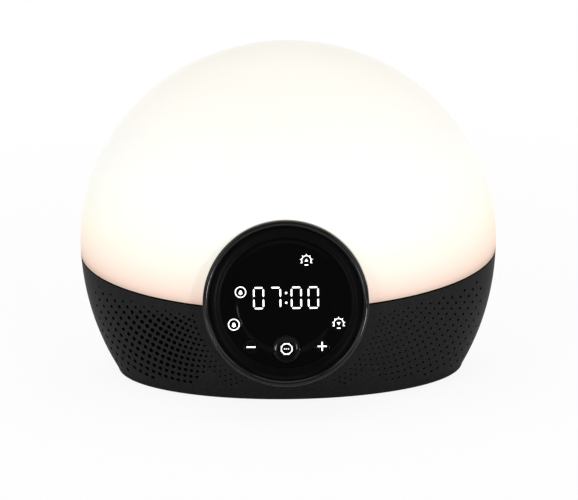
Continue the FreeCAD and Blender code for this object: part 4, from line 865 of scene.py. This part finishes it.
for name, place in KEYS.items():
    profile = key_base(KEY_RADIUS, STEM_END, KEY_TOP - KEY_EDGE)
    profile += arc_points(profile[-1], (KEY_RADIUS - KEY_EDGE, KEY_TOP), KEY_EDGE, 1, 3)
    for share in (0.9, 0.75, 0.6, 0.45, 0.3, 0.15, 0):
        profile.append((KEY_RADIUS * share, KEY_TOP - KEY_DISH * (1 - share ** 2)))
    piece(name + "_cap", lathe(profile, place, 64), name, [name], [KEY])
profile = key_base(SELECT_RADIUS, SELECT_STEM_END, SELECT_TOP - SELECT_EDGE)
profile += arc_points(profile[-1], (SELECT_RADIUS - SELECT_EDGE, SELECT_TOP), SELECT_EDGE, 1, 6)
profile.append((SELECT_RADIUS - SELECT_RIM_TOP, SELECT_TOP))
foot = (SELECT_RADIUS - SELECT_RIM_FOOT, SELECT_TOP - SELECT_EDGE)
profile += arc_points(profile[-1], foot, SELECT_EDGE, 1, 6)
for share in (0.8, 0.65, 0.5, 0.35, 0.2, 0):
    profile.append((SELECT_RADIUS * share, SELECT_MIDDLE + SELECT_DISH * share ** 2))
piece("select_button_cap", lathe(profile, SELECT, 96), "select_button", ["select_button"], [KEY])


# Lit marks
MARK_RISE = 0.05


def marks(name, shapes, level, body):
    """Flat lit marks a hair over a surface of the drum, each an outline of the drum's plane."""
    mesh = bmesh.new()
    for shape in shapes:
        top = [mesh.verts.new(world(on_drum(x, y, level + MARK_RISE))) for x, y in shape]
        low = [mesh.verts.new(world(on_drum(x, y, level))) for x, y in shape]
        mesh.faces.new(top)
        for k in range(len(shape)):
            after = (k + 1) % len(shape)
            mesh.faces.new([low[k], low[after], top[after], top[k]])
    bmesh.ops.triangulate(mesh, faces=mesh.faces)
    finish_normals(mesh)
    piece(name, mesh, body, (), [LIT])


def bar(x, y, width, height, tip=0):
    """A bar with its ends cut to points or left square."""
    w, h = width / 2, height / 2
    if not tip:
        return [(x - w, y - h), (x + w, y - h), (x + w, y + h), (x - w, y + h)]
    if width > height:
        return [(x - w, y), (x - w + tip, y - h), (x + w - tip, y - h), (x + w, y), (x + w - tip, y + h),
                (x - w + tip, y + h)]
    return [(x, y - h), (x + w, y - h + tip), (x + w, y + h - tip), (x, y + h), (x - w, y + h - tip),
            (x - w, y - h + tip)]


def around(x, y, radius, degrees, across=0):
    """The point round a middle at a radius and a turn, set off square to that radius."""
    c, s = math.cos(math.radians(degrees)), math.sin(math.radians(degrees))
    return (x + radius * c + across * s, y + radius * s - across * c)


def band(x, y, inner, outer, first, last, steps):
    """Short quads along a ring or a part of one."""
    quads = []
    for k in range(steps):
        a = first + (last - first) * k / steps
        b = first + (last - first) * (k + 1) / steps
        corners = ((inner, a), (outer, a), (outer, b), (inner, b))
        quads.append([around(x, y, radius, turn) for radius, turn in corners])
    return quads


DIGIT_WIDTH = 5.3
DIGIT_HEIGHT = 10.6
STROKE = 0.74
STROKE_TIP = 0.35
SEGMENTS = {"0": "abcdef", "7": "abc"}
CLOCK_Y = 2.45


def digit(character, x):
    """The lit bars of one digit."""
    w, h = (DIGIT_WIDTH - STROKE) / 2, (DIGIT_HEIGHT - STROKE) / 2
    level = (DIGIT_WIDTH - 1.7 * STROKE, STROKE, STROKE_TIP)
    upright = (STROKE, DIGIT_HEIGHT / 2 - 2.1 * STROKE, STROKE_TIP)
    bars = {
        "a": (x, CLOCK_Y + h, *level), "d": (x, CLOCK_Y - h, *level),
        "b": (x + w, CLOCK_Y + h / 2, *upright), "c": (x + w, CLOCK_Y - h / 2, *upright),
        "f": (x - w, CLOCK_Y + h / 2, *upright), "e": (x - w, CLOCK_Y - h / 2, *upright),
    }
    return [bar(*bars[letter]) for letter in SEGMENTS[character]]


CLOCK = (("0", -13.0), ("7", -4.9), ("0", 5.0), ("0", 13.1))
COLON_X, COLON_RISE, COLON_DOT = 0.15, 2.35, 0.56
shapes = []
for character, x in CLOCK:
    shapes += digit(character, x)
for side in (1, -1):
    shapes.append(circle(COLON_X, CLOCK_Y + side * COLON_RISE, COLON_DOT, 16))
marks("clock_digits", shapes, FACE_LEVEL, "lamp")


BELL = ((-0.62, -0.55), (0.62, -0.55), (0.52, -0.3), (0.44, 0.2), (0.25, 0.48), (0, 0.58), (-0.25, 0.48),
        (-0.44, 0.2), (-0.52, -0.3))


def bell_ring(x, y, radius):
    """A small bell inside a ring."""
    size = radius * 0.58
    found = band(x, y, radius - 0.45, radius, 0, 360, 48)
    found.append([(x + a * size, y + b * size) for a, b in BELL])
    found.append(circle(x, y - 0.66 * size, 0.2 * size, 10))
    return found


def sun(x, y, radius, upward):
    """A rising or setting sun: a ring open below, rays round it, a triangle inside and a short bar."""
    ring = radius * 0.78
    root, tip = radius * 0.09, radius * 0.02
    found = band(x, y, radius * 0.66, ring, -25, 205, 40)
    for turn in range(10, 171, 40):
        found.append([
            around(x, y, ring, turn, root), around(x, y, radius, turn, tip),
            around(x, y, radius, turn, -tip), around(x, y, ring, turn, -root),
        ])
    for side in (-1, 1):
        found.append(bar(x + side * radius * 0.76, y - radius * 0.36, radius * 0.3, radius * 0.12))
    point = 1 if upward else -1
    found.append([
        (x - radius * 0.28, y - point * radius * 0.16), (x + radius * 0.28, y - point * radius * 0.16),
        (x, y + point * radius * 0.26),
    ])
    found.append(bar(x, y - radius * 0.7, radius * 0.55, radius * 0.14))
    return found


def cog_ring(x, y, radius):
    """A ring with rounded teeth, open at its right, round three dots."""
    found = band(x, y, radius * 0.74, radius * 0.88, 34, 326, 60)
    found += band(x, y, radius * 0.78, radius * 0.92, -13, 13, 6)
    for k in range(8):
        found.append(circle(*around(x, y, radius * 0.85, 22.5 + 45 * k), radius * 0.11, 12))
    found += [circle(x + k * radius * 0.3, y, radius * 0.085, 10) for k in (-1, 0, 1)]
    return found


def cross(x, y, length, width):
    """A cross of one long bar and two short ones that meet it."""
    short = (length - width) / 2
    found = [bar(x, y, length, width)]
    return found + [bar(x, y + side * (width + short) / 2, width, short) for side in (1, -1)]


marks("alarm_indicator", bell_ring(-21.6, 5.4, 2.7), FACE_LEVEL, "lamp")
marks("sunrise_indicator", sun(10, 20.2, 3.1, True), FACE_LEVEL, "lamp")
for name, shapes in (
    ("alarm_button", bell_ring(*KEYS["alarm_button"], 2.8)),
    ("sunset_button", sun(*KEYS["sunset_button"], 3.2, False)),
    ("minus_button", [bar(*KEYS["minus_button"], 4.3, 0.62)]),
    ("plus_button", cross(*KEYS["plus_button"], 4.3, 0.62)),
):
    marks(name + "_mark", shapes, KEY_TOP, name)
marks("select_button_mark", cog_ring(*SELECT, 3.1), SELECT_MARK_LEVEL, "select_button")


# Stage: pale floor, world and soft lamps
def stage_floor():
    """A wide pale floor that stays white to the camera and keeps a soft shadow."""
    mesh = bmesh.new()
    bmesh.ops.create_grid(mesh, x_segments=4, y_segments=4, size=4)
    data = bpy.data.meshes.new("floor")
    mesh.to_mesh(data)
    mesh.free()
    made = bpy.data.objects.new("floor", data)
    bpy.context.scene.collection.objects.link(made)
    material, tree, shader = new_material("pale_floor")
    shader.inputs["Base Color"].default_value = grey(0.9)
    shader.inputs["Roughness"].default_value = 0.9
    shader.inputs["Specular IOR Level"].default_value = 0.0
    path = tree.nodes.new("ShaderNodeLightPath")
    distance = tree.add("ShaderNodeVectorMath", Vector=tree.place())
    distance.operation = "LENGTH"
    clear = tree.ramp(distance.outputs["Value"], [(0.12, grey(0.9)), (0.7, grey(1))])
    seen = tree.math("MULTIPLY", path.outputs["Is Camera Ray"], clear)
    seen = tree.math("MAXIMUM", seen, path.outputs["Is Transmission Ray"])
    white = tree.add("ShaderNodeEmission", Color=grey(1), Strength=1.0)
    mixed = tree.nodes.new("ShaderNodeMixShader")
    for socket, value in zip(mixed.inputs, (seen, shader.outputs[0], white.outputs[0])):
        tree.feed(socket, value)
    tree.feed(tree.nodes["Material Output"].inputs[0], mixed.outputs[0])
    data.materials.append(material)


def light(name, place, target, size, power):
    """A soft rectangular lamp that looks at a point."""
    data = bpy.data.lights.new(name, "AREA")
    data.shape = "RECTANGLE"
    data.size, data.size_y = size
    data.energy = power
    made = bpy.data.objects.new(name, data)
    made.location = place
    made.rotation_euler = (Vector(target) - Vector(place)).to_track_quat("-Z", "Y").to_euler()
    bpy.context.scene.collection.objects.link(made)


def surroundings():
    """An even world, white to the camera and to glass, and darker in front of the lamp to gloss."""
    made = bpy.data.worlds.new("studio")
    made.use_nodes = True
    bpy.context.scene.world = made
    tree = Tree(made)
    back = tree.nodes["Background"]
    depth = tree.add("ShaderNodeSeparateXYZ", Vector=tree.place("Generated")).outputs[1]
    behind = tree.ramp(tree.math("MULTIPLY_ADD", depth, 0.5, 0.5), [(0, grey(0.1)), (1, grey(1))])
    path = tree.nodes.new("ShaderNodeLightPath")
    clear = tree.math("MAXIMUM", path.outputs["Is Camera Ray"], path.outputs["Is Transmission Ray"])
    gloss = tree.blend(path.outputs["Is Glossy Ray"], (0.42, 0.42, 0.43, 1), behind)
    tree.feed(back.inputs[0], tree.blend(clear, gloss, grey(1)))
    back.inputs[1].default_value = 1


# Each lamp's name, place, target and size in metres, and its watts
LIGHTS = (
    ("key_left", (-1.1, -1.1, 0.9), (0, 0, 0.06), (0.9, 0.9), 7.8),
    ("key_right", (1.1, -1.1, 0.9), (0, 0, 0.06), (0.9, 0.9), 6.6),
    ("overhead", (0, 0.1, 1.5), (0, 0, 0.05), (1.4, 1.0), 8),
    ("glint_left", (-0.36, -0.95, 0.05), (0, -0.05, 0.05), (0.05, 0.2), 1.6),
    ("glint_right", (0.4, -0.95, 0.05), (0, -0.05, 0.05), (0.05, 0.2), 4.2),
)
stage_floor()
surroundings()
for row in LIGHTS:
    light(*row)
